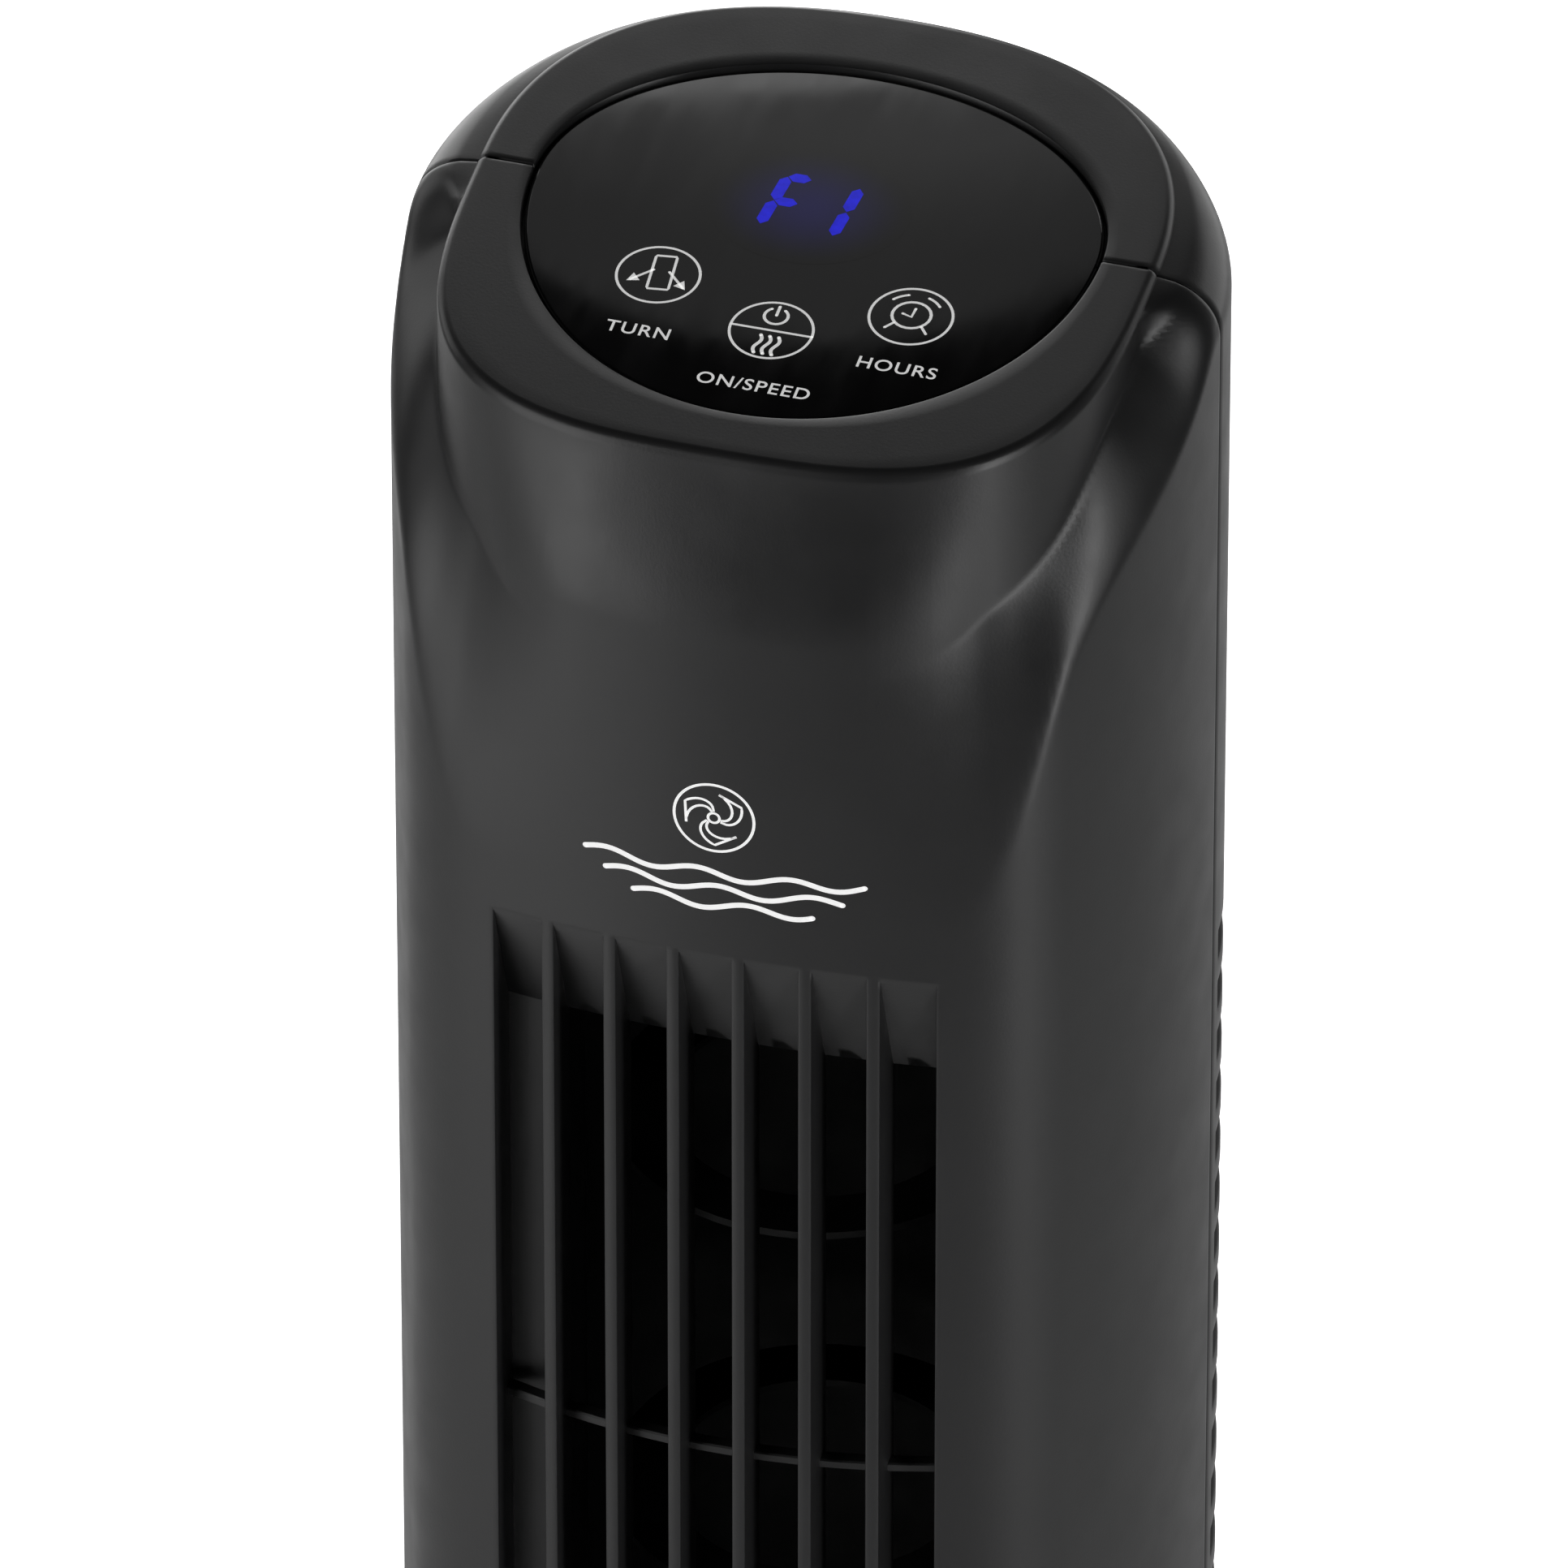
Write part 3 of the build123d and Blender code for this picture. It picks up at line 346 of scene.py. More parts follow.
def make_front_shell(material):
    columns = front_columns()
    count = len(columns)
    rows_deck = deck_rows()
    points = [deck_point(col, row) for row in rows_deck for col in columns]
    points += [neck_point(col, depth) for depth in NECK_DEPTHS for col in columns]
    first = len(rows_deck) + len(NECK_DEPTHS)
    points += [front_level_point(col, z) for z in FRONT_LEVELS for col in columns]
    points += bottom_lip(columns)
    rows = len(points) // count

    def keep(r, c):
        if not first <= r < first + len(FRONT_LEVELS) - 1:
            return True
        high, low = FRONT_LEVELS[r - first], FRONT_LEVELS[r - first + 1]
        open_rows = high <= GRILLE_TOP_Z - RAMP_HEIGHT and low >= GRILLE_BOTTOM_Z + RAMP_HEIGHT
        in_cell = columns[c]["cell"] and columns[c + 1]["cell"]
        return not (open_rows and in_cell and columns[c]["x"] > BAR_PLACES[1])

    faces = sheet_faces(rows, count, keep=keep)

    # backs of the bars, from one side wall to the other
    levels = [z for z in FRONT_LEVELS if GRILLE_BOTTOM_Z <= z <= GRILLE_TOP_Z]
    half = BAR_THICKNESS / 2
    for place in BAR_PLACES:
        start = len(points)
        for z in levels:
            for x, deep in [(place - half, BAR_DEPTH - 0.4), (place - half + 0.4, BAR_DEPTH)]:
                points.append((x, face_y(x) + deep, z))
            for x, deep in [(place + half - 0.4, BAR_DEPTH), (place + half, BAR_DEPTH - 0.4)]:
                points.append((x, face_y(x) + deep, z))
        faces += sheet_faces(len(levels), 4, start, flip=True)

    # underside of the two end ramps
    for edge_z, inward in [(GRILLE_TOP_Z - RAMP_HEIGHT, 1), (GRILLE_BOTTOM_Z + RAMP_HEIGHT, -1)]:
        across = [BAR_PLACES[0] + k * (BAR_PLACES[-1] - BAR_PLACES[0]) / 70 for k in range(71)]
        start = len(points)
        for deep, back in [(RAMP_SINK, 0), (RAMP_SINK + 0.5, -0.25), (RAMP_SINK + 3, 1)]:
            for x in across:
                points.append((x, face_y(x) + deep, edge_z + inward * back - arch_drop(x, edge_z)))
        faces += sheet_faces(3, len(across), start, flip=inward < 0)

    # ties behind the bars
    reach = BAR_PLACES[-1] - 1
    across = [-reach + 2 * reach * k / 90 for k in range(91)]
    h = TIE_HEIGHT / 2
    outline = [(6.3, h), (6.0, h - 0.3), (6.0, 0.3 - h), (6.3, -h), (8.6, -h), (8.6, h), (6.3, h)]
    for k in (-1, 0, 1):
        z = (GRILLE_TOP_Z + GRILLE_BOTTOM_Z) / 2 + k * TIE_SPACING
        start = len(points)
        for deep, up in outline:
            points += [(x, face_y(x) + deep, z + up) for x in across]
        faces += sheet_faces(len(outline), len(across), start)
    piece = new_piece("front_cover", points, faces, material, "tower")
    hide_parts("front_shell")


# ---------------------------------------------------------------- rear shell
def rear_columns():
    places = [180 * k / 120 for k in range(1, 120)]
    first_vent = degrees(atan2(VENT_FRONT_Y - SEAM_Y, HALF_WIDTH))
    places += [first_vent, 180 - first_vent]
    columns = seam_columns(0, 1) + [column(radians(a)) for a in sorted(places)]
    for col in columns:
        if col["off_seam"] is None:
            col["cell"] = abs(degrees(col["angle"]) - 90) <= 90 - first_vent + 1e-6
    return columns + seam_columns(pi, 1)[::-1]


def rear_levels():
    """Heights and how far the slats' lips turn in: (z, sink, a slot follows)."""
    rows = [(662, 0, False), (650, 0, False), (635, 0, False), (625, 0, False)]
    r = EDGE_ROUND
    for k in reversed(range(VENT_COUNT)):
        low = VENT_BOTTOM_Z + k * VENT_PITCH
        high = low + VENT_HEIGHT
        rows += [(high + r, 0, False), (high + 0.15, 0.15, False), (high, r, False), (high, WALL, True)]
        rows += [(low, WALL, False), (low, r, False), (low - 0.15, 0.15, False), (low - r, 0, False)]
    return rows + [(z, 0, False) for z in (195, 180, 150, 120, 90, 60, 48, TOWER_BOTTOM_Z + EDGE_ROUND)]


def make_rear_shell(material):
    columns = rear_columns()
    count = len(columns)
    rows_deck = deck_rows()
    points = [deck_point(col, row) for row in rows_deck for col in columns]
    points += [neck_point(col, depth) for depth in NECK_DEPTHS for col in columns]
    first = len(rows_deck) + len(NECK_DEPTHS)
    levels = rear_levels()
    for z, sink, _ in levels:
        for col in columns:
            inset = max(col["inset"], sink if col["cell"] else 0)
            x, y = at_angle(col, body_radius(col["angle"]) - inset)
            points.append((x, y, z))
    points += bottom_lip(columns)
    rows = len(points) // count

    def keep(r, c):
        if not first <= r < first + len(levels) - 1:
            return True
        return not (levels[r - first][2] and columns[c]["cell"] and columns[c + 1]["cell"])

    faces = sheet_faces(rows, count, keep=keep)

    # inner faces of the slats, and the upright ribs that carry them
    vent = [col for col in columns if col["cell"]]
    for k in range(1, VENT_COUNT):
        low = VENT_BOTTOM_Z + k * VENT_PITCH - (VENT_PITCH - VENT_HEIGHT)
        start = len(points)
        for z in (VENT_BOTTOM_Z + k * VENT_PITCH, low):
            points += [(*at_angle(col, body_radius(col["angle"]) - WALL), z) for col in vent]
        faces += sheet_faces(2, len(vent), start, flip=True)
    for x in (-40, 0, 40):
        start = len(points)
        low, high = VENT_BOTTOM_Z - 4, VENT_TOP_Z + 4
        for z in (high, low):
            for across, deep in [(-1.5, 6), (-1.5, WALL), (1.5, WALL), (1.5, 6), (-1.5, 6)]:
                reach = REAR_DEPTH * (1 - (abs(x + across) / HALF_WIDTH) ** REAR_POWER) ** (1 / REAR_POWER)
                points.append((x + across, SEAM_Y + reach - deep - 0.1, z))
        faces += sheet_faces(2, 5, start, flip=True)
    piece = new_piece("rear_cover", points, faces, material, "tower")
    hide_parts("rear_shell")


# ---------------------------------------------------------------- printed marks
def on_lens(u, v, lift=0.03):
    """A point printed on the touch panel, u to the right and v to the back, from the deck's centre."""
    s, c = sin(radians(DECK_TILT)), cos(radians(DECK_TILT))
    up = lift - LENS_DROP
    return u, v * c - up * s, DECK_Z + v * s + up * c


def on_face(u, v, lift=0.04):
    """A point printed on the front face, at x = u and z = v."""
    return u, face_y(u) - lift, v


def stroke(path, width, closed=False):
    """Outline quads of a line of even width with round ends: (points, faces) in the print's own plane."""
    points, faces = [], []
    line = list(path) + ([path[0]] if closed else [])
    for k, (x, y) in enumerate(line):
        if closed:  # the last point repeats the first
            (ax, ay), (bx, by) = path[(k - 1) % len(path)], path[(k + 1) % len(path)]
        else:
            (ax, ay), (bx, by) = line[max(k - 1, 0)], line[min(k + 1, len(line) - 1)]
        length = hypot(bx - ax, by - ay) or 1
        nx, ny = (ay - by) / length * width / 2, (bx - ax) / length * width / 2
        points += [(x + nx, y + ny), (x - nx, y - ny)]
        if k:
            a = len(points) - 4
            faces.append((a, a + 1, a + 3, a + 2))
    if not closed:
        for x, y in (line[0], line[-1]):
            start = len(points)
            points += [(x + width / 2 * cos(t * pi / 6), y + width / 2 * sin(t * pi / 6)) for t in range(12)]
            faces.append(tuple(range(start, start + 12)))
    return points, faces


def arc(cx, cy, radius, start, end, count=24, squeeze=1.0):
    turns = [radians(start + (end - start) * k / count) for k in range(count + 1)]
    return [(cx + radius * cos(t), cy + squeeze * radius * sin(t)) for t in turns]


def print_marks(name, shapes, place, material):
    """Joins flat shapes, given as (points, faces), and lays them on a surface."""
    points, faces = [], []
    for shape_points, shape_faces in shapes:
        start = len(points)
        points += [place(u, v) for u, v in shape_points]
        faces += [tuple(start + k for k in face) for face in shape_faces]
    return new_piece(name, points, faces, material, "tower")


def lettering(word, centre, height, spread=1.0):
    """A word as flat triangles, centred on a point."""
    curve = bpy.data.curves.new("word", "FONT")
    curve.body = word
    curve.size = height / 0.72
    curve.align_x = "CENTER"
    curve.space_character = spread
    curve.offset = 0.012 * height
    holder = bpy.data.objects.new("word", curve)
    bpy.context.scene.collection.objects.link(holder)
    bpy.context.view_layer.update()
    mesh = bpy.data.meshes.new_from_object(holder.evaluated_get(bpy.context.evaluated_depsgraph_get()))
    points = [(centre[0] + v.co.x, centre[1] + v.co.y) for v in mesh.vertices]
    faces = [tuple(p.vertices) for p in mesh.polygons]
    bpy.data.objects.remove(holder)
    bpy.data.meshes.remove(mesh)
    return points, faces


TOUCH_SPOTS = [(-23.7, -16.0), (0.6, -25.7), (24.3, -15.7)]
RING_R, LINE = 7.7, 0.52
HALO = (-2.0, 9.3)


def swing_icon(cx, cy):
    """A tall panel with an arrow to each side."""
    frame_line = [(cx + x, cy + y) for x, y in [(-1.8, 5.1), (2.1, 5.6), (2.9, -3.6), (-1.1, -4.1)]]
    corners = []
    for (ax, ay), (bx, by) in zip(frame_line, frame_line[1:] + frame_line[:1]):
        corners += [(ax + (bx - ax) * s, ay + (by - ay) * s) for s in (0.04, 0.5, 0.96)]
    shapes = [stroke(corners, LINE, closed=True)]
    for side in (-1, 1):
        tip = (cx + 0.3 + side * 5.1, cy - 2.5)
        shapes.append(stroke([(cx + 0.3 + side * 1.5, cy + 1.2), tip], LINE))
        point = (tip[0] + side * 0.5, tip[1] - 0.4)
        barbs = [(tip[0] - side * 1.9, tip[1] + 0.2), (tip[0] - side * 0.3, tip[1] + 2.0)]
        shapes.append(([point, *barbs], [(0, 1, 2)]))
    return shapes


def power_icon(cx, cy):
    """A power sign over three wisps of air, parted by a line."""
    shapes = [stroke([(cx - RING_R, cy), (cx + RING_R, cy)], LINE)]
    shapes.append(stroke(arc(cx - 0.2, cy + 4.0, 2.2, 125, 415), LINE * 1.1))
    shapes.append(stroke([(cx - 0.2, cy + 6.7), (cx - 0.2, cy + 4.2)], LINE * 1.1))
    for k in (-1, 0, 1):
        wisp = [(cx + 0.2 + k * 1.7 + 0.45 * sin(t * 2 * pi / 20), cy - 1.6 - t * 0.25) for t in range(21)]
        shapes.append(stroke(wisp, LINE * 1.3))
    return shapes


def clock_icon(cx, cy):
    """An alarm clock with two ringing arcs."""
    shapes = [stroke(arc(cx, cy + 0.4, 3.6, 0, 360)[:-1], LINE * 1.1, closed=True)]
    shapes.append(stroke([(cx - 1.7, cy + 0.5), (cx + 0.1, cy - 0.1), (cx + 0.3, cy + 2.3)], LINE))
    for side in (-1, 1):
        middle = 90 - side * 36
        shapes.append(stroke(arc(cx, cy + 0.4, 5.6, middle - 16, middle + 16), LINE))
        shapes.append(stroke([(cx + side * 2.6, cy - 2.3), (cx + side * 3.9, cy - 4.0)], LINE))
    return shapes


def make_panel_marks(material):
    shapes = []
    for (cx, cy), icon in zip(TOUCH_SPOTS, (swing_icon, power_icon, clock_icon)):
        shapes.append(stroke(arc(cx, cy, RING_R, 0, 360, 72)[:-1], LINE, closed=True))
        shapes += icon(cx, cy)
    for word, centre in [("TURN", (-23.0, -33.0)), ("ON/SPEED", (1.6, -42.6)), ("HOURS", (25.6, -31.4))]:
        shapes.append(lettering(word, centre, 3.1, 1.12))
    print_marks("panel_marks", shapes, on_lens, material)


def segment(ax, ay, bx, by, width=2.3, gap=0.1):
    """One bar of a digit, with pointed ends."""
    length = hypot(bx - ax, by - ay)
    ux, uy = (bx - ax) / length, (by - ay) / length
    nx, ny = -uy * width / 2, ux * width / 2
    a = (ax + ux * gap, ay + uy * gap)
    b = (bx - ux * gap, by - uy * gap)
    tip = width / 2
    points = [a, (a[0] + ux * tip + nx, a[1] + uy * tip + ny), (b[0] - ux * tip + nx, b[1] - uy * tip + ny)]
    points += [b, (b[0] - ux * tip - nx, b[1] - uy * tip - ny), (a[0] + ux * tip - nx, a[1] + uy * tip - ny)]
    return points, [(5, 4, 3, 2, 1, 0)]


def make_digits(material):
    """The lit figures: an F and a 1, leaning to the right."""
    wide, tall, lean = 4.6, 7.0, 0.1
    corners = {"tl": (0, 2), "tr": (1, 2), "ml": (0, 1), "mr": (1, 1), "bl": (0, 0), "br": (1, 0)}

    def at(cx, key):
        column_at, row_at = corners[key]
        y = (row_at - 1) * tall
        return cx + (column_at - 0.5) * wide + lean * y, 9.3 + y

    shapes = []
    for a, b in [("tl", "tr"), ("ml", "mr"), ("tl", "ml"), ("ml", "bl")]:
        shapes.append(segment(*at(-6.6, a), *at(-6.6, b)))
    for a, b in [("tr", "mr"), ("mr", "br")]:
        shapes.append(segment(*at(2.6, a), *at(2.6, b)))
    print_marks("lit_digits", shapes, on_lens, material)


def make_halo(material):
    """The soft light round the figures: an oval patch with its middle at the origin of its own map."""
    wide, tall = 19.0, 16.0
    ring = [(cos(t * pi / 36), sin(t * pi / 36)) for t in range(72)]
    points = [on_lens(HALO[0] + wide * x, HALO[1] + tall * y, 0.015) for x, y in ring]
    patch = new_piece("display_halo", points, [tuple(range(72))], material, "tower")
    chart = patch.data.uv_layers.new(name="spread")
    for loop in patch.data.loops:
        chart.data[loop.index].uv = ring[loop.vertex_index]


def make_emblem(material):
    """A generic mark: a small fan over three breaths of air."""
    cx, cz, line = 1.8, 690.5, 0.5
    shapes = [stroke(arc(cx, cz, 7.6, 0, 360, 60)[:-1], 0.55, closed=True)]
    shapes.append(stroke(arc(cx, cz, 1.1, 0, 360, 20)[:-1], line, closed=True))
    for k in range(3):
        start = 90 + 120 * k
        blade = []
        for t in range(13):
            share = t / 12
            turn = radians(start + 62 * share)
            reach = 1.6 + 4.6 * share**0.6
            blade.append((cx + reach * cos(turn), cz + reach * sin(turn)))
        for t in range(12, -1, -1):
            share = t / 12
            turn = radians(start + 92 * share**1.6 + 18)
            reach = 1.6 + 4.0 * share
            blade.append((cx + reach * cos(turn), cz + reach * sin(turn)))
        shapes.append(stroke(blade, line, closed=True))
    for k, half in enumerate((26.5, 22.5, 17.0)):
        z = 677.6 - 3.6 * k
        count = 60
        places = [2 * half * t / count for t in range(count + 1)]
        wave = [(3.2 - half + along, z + 0.95 * sin(2 * pi * along / 17.5)) for along in places]
        shapes.append(stroke(wave, 1.15))
    print_marks("air_emblem", shapes, on_face, material)


# ---------------------------------------------------------------- materials
def node_material(name):
    material = bpy.data.materials.new(name)
    material.use_nodes = True
    tree = material.node_tree
    return material, tree, tree.nodes["Principled BSDF"]


def noise(tree, scale, detail=3.0, stretch=None):
    """A noise factor in the object's own coordinates, in metres."""
    place = tree.nodes.new("ShaderNodeTexCoord").outputs["Object"]
    if stretch:
        mapping = tree.nodes.new("ShaderNodeMapping")
        mapping.inputs["Scale"].default_value = stretch
        tree.links.new(place, mapping.inputs["Vector"])
        place = mapping.outputs["Vector"]
    texture = tree.nodes.new("ShaderNodeTexNoise")
    texture.inputs["Scale"].default_value = scale
    texture.inputs["Detail"].default_value = detail
    tree.links.new(place, texture.inputs["Vector"])
    return texture.outputs["Fac"]


def spread(tree, factor, low, high, inside=(0.3, 0.7)):
    """Maps a noise factor on to a range."""
    node = tree.nodes.new("ShaderNodeMapRange")
    node.inputs["From Min"].default_value, node.inputs["From Max"].default_value = inside
    node.inputs["To Min"].default_value, node.inputs["To Max"].default_value = low, high
    tree.links.new(factor, node.inputs["Value"])
    return node.outputs["Result"]


def tint(tree, factor, first, second):
    """A colour that drifts between two values with a noise factor."""
    node = tree.nodes.new("ShaderNodeMix")
    node.data_type = "RGBA"
    node.inputs[6].default_value = (*first, 1)
    node.inputs[7].default_value = (*second, 1)
    tree.links.new(spread(tree, factor, 0, 1), node.inputs[0])
    return node.outputs[2]


def bump(tree, layers):
    """Stacks bumps: (factor, distance in metres, strength)."""
    normal = None
    for factor, distance, strength in layers:
        node = tree.nodes.new("ShaderNodeBump")
        node.inputs["Distance"].default_value = distance
        node.inputs["Strength"].default_value = strength
        tree.links.new(factor, node.inputs["Height"])
        if normal:
            tree.links.new(normal, node.inputs["Normal"])
        normal = node.outputs["Normal"]
    return normal


def surface(name, colour, rough, grain, wander=0.12, metallic=0.0, coat=0.0, stretch=None):
    """A moulded or machined finish: colour that drifts a little, uneven gloss, and a grain.

    rough is (low, high); grain is (scale, distance in metres, strength).
    """
    material, tree, shader = node_material(name)
    darker = [c * (1 - wander) for c in colour]
    lighter = [c * (1 + wander) for c in colour]
    tree.links.new(tint(tree, noise(tree, 38, 5), darker, lighter), shader.inputs["Base Color"])
    tree.links.new(spread(tree, noise(tree, 90, 6, stretch), *rough), shader.inputs["Roughness"])
    layers = [(noise(tree, grain[0], 2, stretch), grain[1], grain[2])]
    tree.links.new(bump(tree, layers), shader.inputs["Normal"])
    shader.inputs["Metallic"].default_value = metallic
    shader.inputs["Coat Weight"].default_value = coat
    shader.inputs["Coat Roughness"].default_value = 0.2
    return material


def lens_material():
    """Gloss black acrylic with a faint orange-peel and wiping marks."""
    material, tree, shader = node_material("gloss_black_acrylic")
    black = tint(tree, noise(tree, 25), (0.004, 0.004, 0.0042), (0.006, 0.006, 0.0064))
    tree.links.new(black, shader.inputs["Base Color"])
    tree.links.new(spread(tree, noise(tree, 140, 6, (1, 0.25, 1)), 0.03, 0.075), shader.inputs["Roughness"])
    tree.links.new(bump(tree, [(noise(tree, 16, 1), 0.0006, 0.05)]), shader.inputs["Normal"])
    shader.inputs["IOR"].default_value = 1.49
    return material


def print_painted_glow_material():
    """White pad-printed ink, a little uneven, with a painted glow: the ink emits a little light of its own.
    """
    material, tree, shader = node_material("white_print_painted_glow")
    white = tint(tree, noise(tree, 900), (0.8, 0.8, 0.79), (0.9, 0.9, 0.89))
    tree.links.new(white, shader.inputs["Base Color"])
    tree.links.new(spread(tree, noise(tree, 600), 0.4, 0.6), shader.inputs["Roughness"])
    # painted glow: the ink emits light so that it looks brighter than the lamps alone make it
    shader.inputs["Emission Color"].default_value = (1, 1, 1, 1)
    shader.inputs["Emission Strength"].default_value = 0.35
    return material


def glow_material():
    """Blue light from the display, uneven across each bar."""
    material, tree, shader = node_material("display_glow")
    shader.inputs["Base Color"].default_value = (0.004, 0.004, 0.03, 1)
    glow = tint(tree, noise(tree, 500), (0.001, 0.001, 0.40), (0.004, 0.004, 0.58))
    tree.links.new(glow, shader.inputs["Emission Color"])
    shader.inputs["Emission Strength"].default_value = 1.0
    tree.links.new(spread(tree, noise(tree, 140, 6, (1, 0.25, 1)), 0.05, 0.1), shader.inputs["Roughness"])
    return material


def halo_material():
    """Gloss black that glows faintly blue, fading away from the middle of the display."""
    material, tree, shader = node_material("display_halo")
    shader.inputs["Base Color"].default_value = (0.005, 0.005, 0.0052, 1)
    tree.links.new(spread(tree, noise(tree, 140, 6, (1, 0.25, 1)), 0.03, 0.075), shader.inputs["Roughness"])
    shader.inputs["IOR"].default_value = 1.49
    place = tree.nodes.new("ShaderNodeTexCoord").outputs["UV"]
    ball = tree.nodes.new("ShaderNodeTexGradient")
    ball.gradient_type = "SPHERICAL"
    tree.links.new(place, ball.inputs["Vector"])
    fade = tree.nodes.new("ShaderNodeValToRGB")
    fade.color_ramp.interpolation = "EASE"
    fade.color_ramp.elements[0].color = (0, 0, 0, 1)
    fade.color_ramp.elements[1].color = (0.003, 0.002, 0.04, 1)
    tree.links.new(ball.outputs["Fac"], fade.inputs["Fac"])
    tree.links.new(fade.outputs["Color"], shader.inputs["Emission Color"])
    shader.inputs["Emission Strength"].default_value = 1.0
    return material


CHARCOAL = (0.017, 0.017, 0.0174)
finishes = {
    "shell_plastic": surface("charcoal_shell", CHARCOAL, (0.31, 0.38), (1900, 0.00005, 0.3), 0.06),
    "gloss_lens": lens_material(),
    "inner_plastic": surface("black_inner", (0.016, 0.016, 0.016), (0.5, 0.6), (1400, 0.00008, 0.4)),
    "duct_plastic": surface("charcoal_duct", (0.024, 0.024, 0.024), (0.45, 0.55), (1500, 0.00008, 0.4)),
    "wheel_plastic": surface("black_wheel", (0.006, 0.006, 0.006), (0.55, 0.7), (1300, 0.00006, 0.35)),
    "gear_plastic": surface("cream_acetal", (0.72, 0.69, 0.6), (0.3, 0.42), (900, 0.00005, 0.3)),
    "slide_plastic": surface("white_slide_ring", (0.7, 0.7, 0.68), (0.3, 0.4), (700, 0.00005, 0.3)),
    "rubber": surface("black_rubber", (0.013, 0.013, 0.013), (0.7, 0.85), (1100, 0.00012, 0.6)),
    "screw_steel": surface(
        "zinc_screw", (0.55, 0.55, 0.56), (0.28, 0.45), (1600, 0.00003, 0.4),
        metallic=1.0,
    ),
    "screw_black": surface(
        "black_screw", (0.05, 0.05, 0.052), (0.35, 0.5), (1600, 0.00003, 0.4),
        metallic=0.9,
    ),
    "shaft_steel": surface(
        "ground_shaft", (0.62, 0.62, 0.63), (0.16, 0.3), (900, 0.00002, 0.4),
        metallic=1.0, stretch=(1, 1, 0.06),
    ),
    "motor_steel": surface(
        "plated_can", (0.5, 0.5, 0.51), (0.3, 0.45), (500, 0.00003, 0.4),
        metallic=1.0, stretch=(1, 1, 0.1),
    ),
    "core_steel": surface(
        "laminated_core", (0.2, 0.19, 0.18), (0.4, 0.6), (300, 0.0001, 0.6),
        metallic=0.9, stretch=(0.2, 0.2, 5),
    ),
    "base_steel": surface(
        "grey_base_plate", (0.16, 0.16, 0.165), (0.4, 0.55), (600, 0.00005, 0.5),
        metallic=0.7,
    ),
    "bronze": surface(
        "sintered_bronze", (0.45, 0.26, 0.11), (0.35, 0.5), (1500, 0.00006, 0.6),
        metallic=1.0,
    ),
    "circuit_green": surface("green_board", (0.02, 0.13, 0.05), (0.3, 0.45), (500, 0.00005, 0.4), coat=0.5),
    "circuit_cream": surface("phenolic_board", (0.5, 0.36, 0.17), (0.45, 0.6), (700, 0.00005, 0.4)),
    "component_black": surface(
        "moulded_component", (0.015, 0.015, 0.017), (0.35, 0.5), (900, 0.00005, 0.4)
    ),
    "capacitor_case": surface("capacitor_case", (0.55, 0.55, 0.53), (0.35, 0.5), (700, 0.00005, 0.3)),
    "display_blue": surface("display_module", (0.008, 0.008, 0.012), (0.15, 0.3), (600, 0.00003, 0.2)),
    "screen_mesh": surface("black_dust_screen", (0.009, 0.009, 0.009), (0.6, 0.75), (1500, 0.0001, 0.6)),
    "cable_grey": surface(
        "ribbon_cable", (0.3, 0.3, 0.31), (0.45, 0.6), (900, 0.00008, 0.5),
        stretch=(12, 12, 0.2),
    ),
}


def finish_cad_nodes():
    """Gives every CAD node its finish."""
    for part in frame["record"]["subparts"]:
        node = frame["nodes"][part["node"]]
        node.data.materials.clear()
        node.data.materials.append(finishes[part["material_slot"]])


# ---------------------------------------------------------------- the object
make_front_shell(finishes["shell_plastic"])
make_rear_shell(finishes["shell_plastic"])
white_print_painted_glow = print_painted_glow_material()
make_panel_marks(white_print_painted_glow)
make_halo(halo_material())
make_digits(glow_material())
make_emblem(white_print_painted_glow)
finish_cad_nodes()


# ---------------------------------------------------------------- floor, light and camera
def make_floor():
    mesh = bpy.data.meshes.new("floor")
    mesh.from_pydata([(-8, -8, 0), (8, -8, 0), (8, 8, 0), (-8, 8, 0)], [], [(0, 1, 2, 3)])
    floor = bpy.data.objects.new("floor", mesh)
    bpy.context.scene.collection.objects.link(floor)
    material, tree, shader = node_material("pale_floor")
    pale = tint(tree, noise(tree, 3), (0.86, 0.86, 0.86), (0.9, 0.9, 0.9))
    tree.links.new(pale, shader.inputs["Base Color"])
    shader.inputs["Roughness"].default_value = 0.9
    shader.inputs["Emission Color"].default_value = (1, 1, 1, 1)
    seen = tree.nodes.new("ShaderNodeLightPath").outputs["Is Camera Ray"]
    tree.links.new(seen, shader.inputs["Emission Strength"])
    mesh.materials.append(material)


def softbox(name, place, target, width, height, glow):
    """An area light facing a target; glow is how bright its face looks."""
    light = bpy.data.lights.new(name, "AREA")
    light.shape = "RECTANGLE"
    light.size, light.size_y = width, height
    light.energy = glow * pi * width * height
    holder = bpy.data.objects.new(name, light)
    holder.location = place
    holder.rotation_euler = (Vector(target) - Vector(place)).to_track_quat("-Z", "Y").to_euler()
    bpy.context.scene.collection.objects.link(holder)
    return holder


def around(azimuth, distance, height):
    """A place round the fan: azimuth 0 is in front and 90 to the right."""
    return distance * sin(radians(azimuth)), -distance * cos(radians(azimuth)), height


# the camera stands to the right, in front and above; the panel's lights are placed in its mirror image
AZIMUTH, ELEVATION, DISTANCE = radians(16.0), radians(37.5), 4.75
TARGET = Vector((-0.0043, 0, 0.6469))
BACK = Vector((sin(AZIMUTH) * cos(ELEVATION), -cos(AZIMUTH) * cos(ELEVATION), sin(ELEVATION)))
REACH = 0.5  # metres from the panel to its lights
GLOW_U, GLOW_V, GLOW_SIZE = -8, 48, (0.168, 0.113)
GLOW_COUNT = 11


def on_lens_m(u, v):
    """A point of the touch panel in metres."""
    return Vector(on_lens(u, v, 0)) * MM


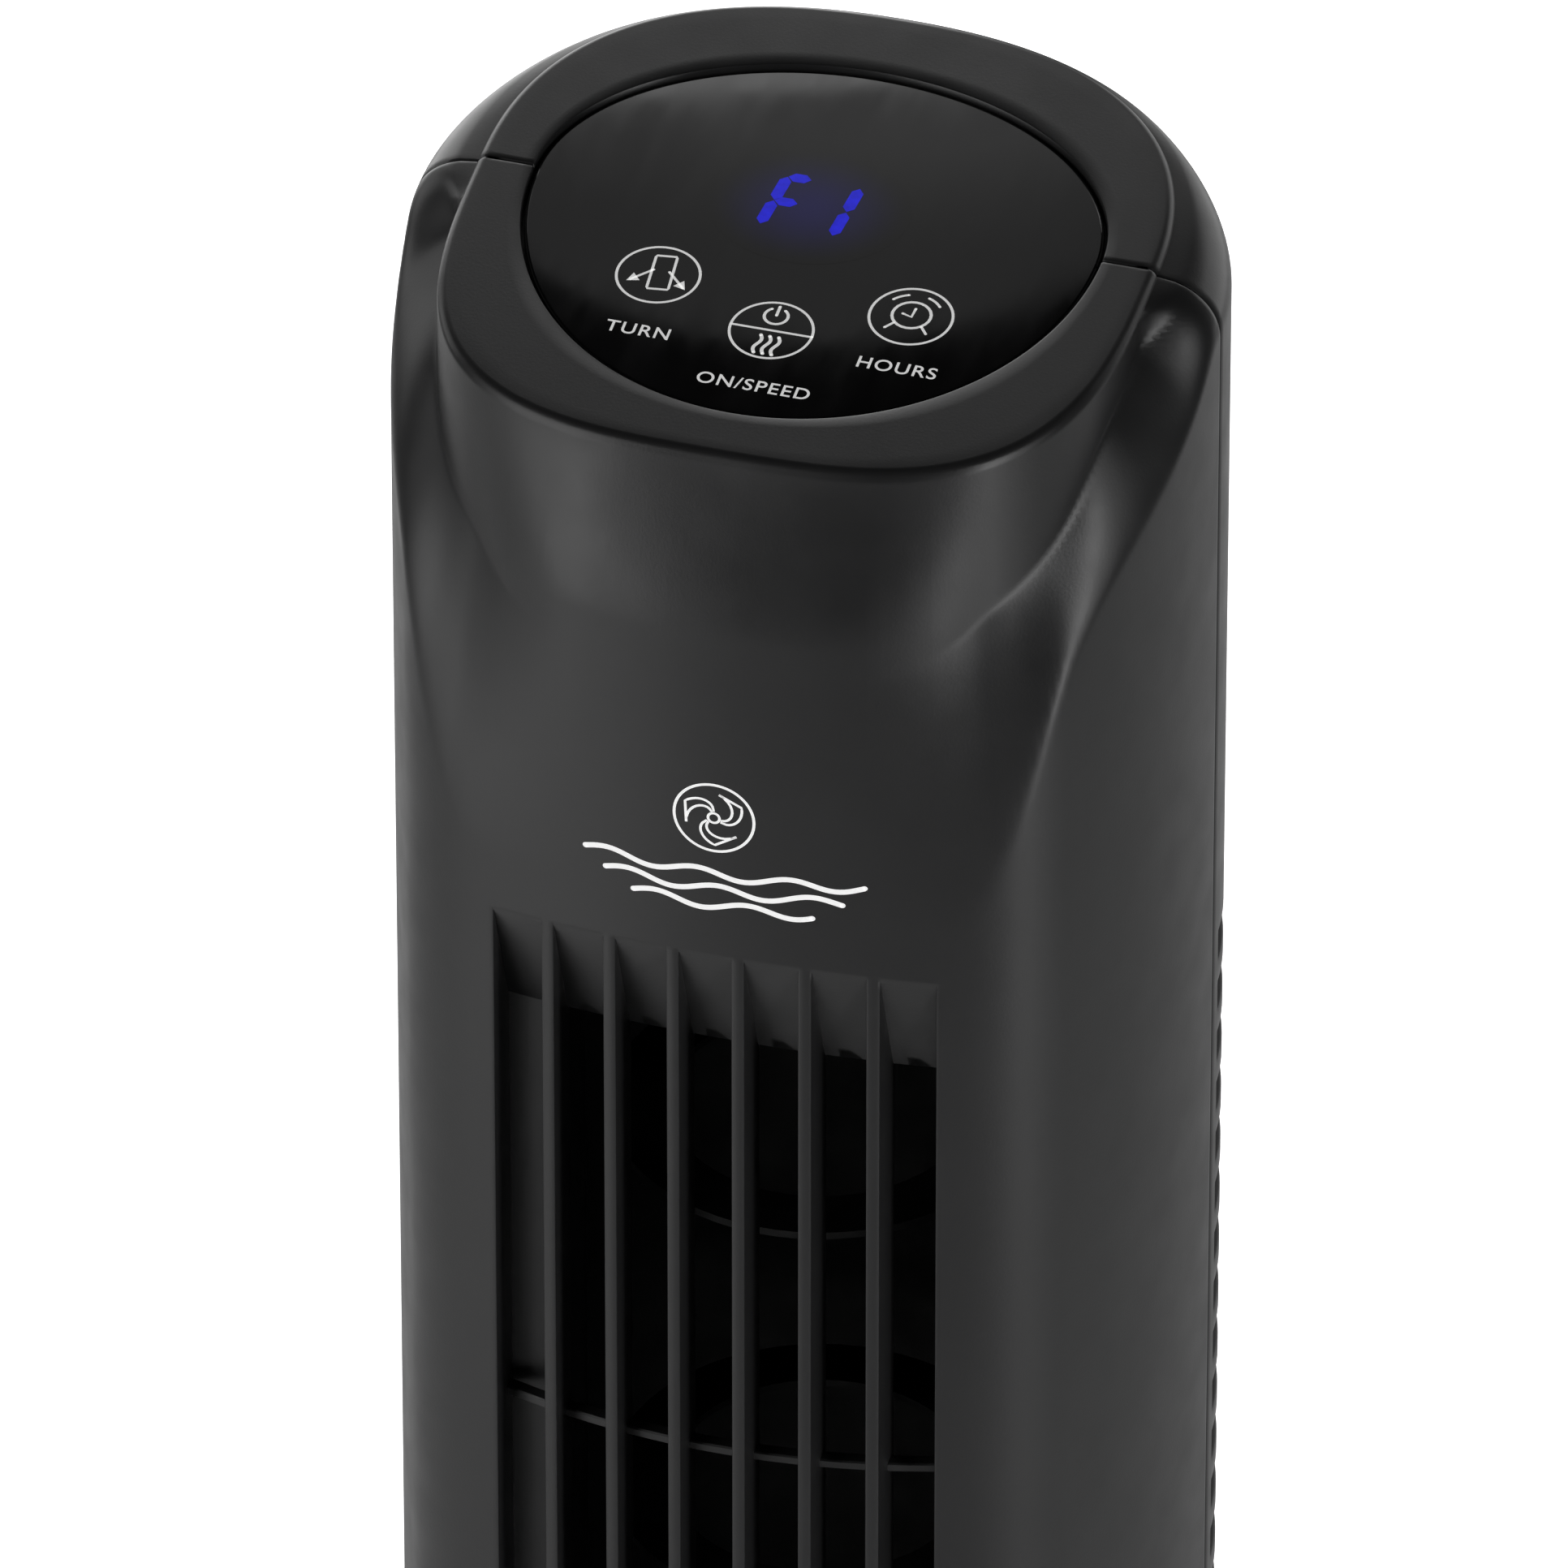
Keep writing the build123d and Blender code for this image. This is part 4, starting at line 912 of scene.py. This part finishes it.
def mirrored(u, v, reach):
    """Where a line of sight arrives, reach metres after it bounces off the touch panel at (u, v)."""
    point = on_lens_m(u, v)
    normal = Vector((0, -sin(radians(DECK_TILT)), cos(radians(DECK_TILT))))
    return point + (point - TARGET - BACK * DISTANCE).normalized().reflect(normal) * reach


def panel_glow(name, v, reach, glow):
    """A round light that the panel shows as a disc of radius 76 about (GLOW_U, v)."""
    light = softbox(name, mirrored(GLOW_U, v, reach), on_lens_m(GLOW_U, v), *GLOW_SIZE, glow)
    light.data.shape = "ELLIPSE"


def make_camera():
    """Long lens from the right, in front and above."""
    camera = bpy.data.cameras.new("camera")
    camera.sensor_width = 36
    camera.lens = 585
    holder = bpy.data.objects.new("camera", camera)
    holder.location = TARGET + BACK * DISTANCE
    holder.rotation_euler = (-BACK).to_track_quat("-Z", "Y").to_euler()
    bpy.context.scene.collection.objects.link(holder)
    bpy.context.scene.camera = holder


def make_world():
    world = bpy.data.worlds.new("studio")
    bpy.context.scene.world = world
    world.use_nodes = True
    sky = world.node_tree.nodes["Background"]
    sky.inputs["Color"].default_value = (1, 1, 1, 1)
    sky.inputs["Strength"].default_value = 0.01


make_floor()
make_world()
bpy.context.scene.view_settings.view_transform = "Standard"
softbox("key_front", around(-30, 1.25, 0.75), (0, 0, 0.6), 0.4, 1.5, 2.3)
softbox("key_left", around(-48, 1.25, 0.75), (0, 0, 0.6), 0.4, 1.5, 1.9)
softbox("key_side", around(-66, 1.25, 0.75), (0, 0, 0.6), 0.4, 1.5, 0.5)
softbox("right_strip", around(60, 1.3, 0.7), (0, 0, 0.6), 0.25, 1.4, 6.0)
softbox("right_fill", around(76, 1.3, 0.7), (0, 0, 0.6), 0.3, 1.4, 1.1)
softbox("back_left", (-0.9, 1.5, 0.85), (-0.2, 0, 0.85), 1.2, 1.5, 2.4)
softbox("back_right", (0.7, 1.6, 0.85), (0.1, 0, 0.85), 1.6, 1.5, 1.2)
softbox("left_fill", around(-108, 1.4, 0.95), (0, 0, 0.7), 0.6, 0.9, 1.0)
softbox("deck_strip", mirrored(4, 98, REACH), on_lens_m(4, 98), 0.5, 0.07, 1.5)
# one round light fills most of the panel; the others start further and further back and brighten its rear
panel_glow("panel_glow_0", GLOW_V, REACH, 0.26)
for k in range(1, GLOW_COUNT):
    panel_glow(f"panel_glow_{k}", GLOW_V + 22 + 4 * k, REACH + 0.002 * k, 0.015 + 0.0005 * k**2)
make_camera()
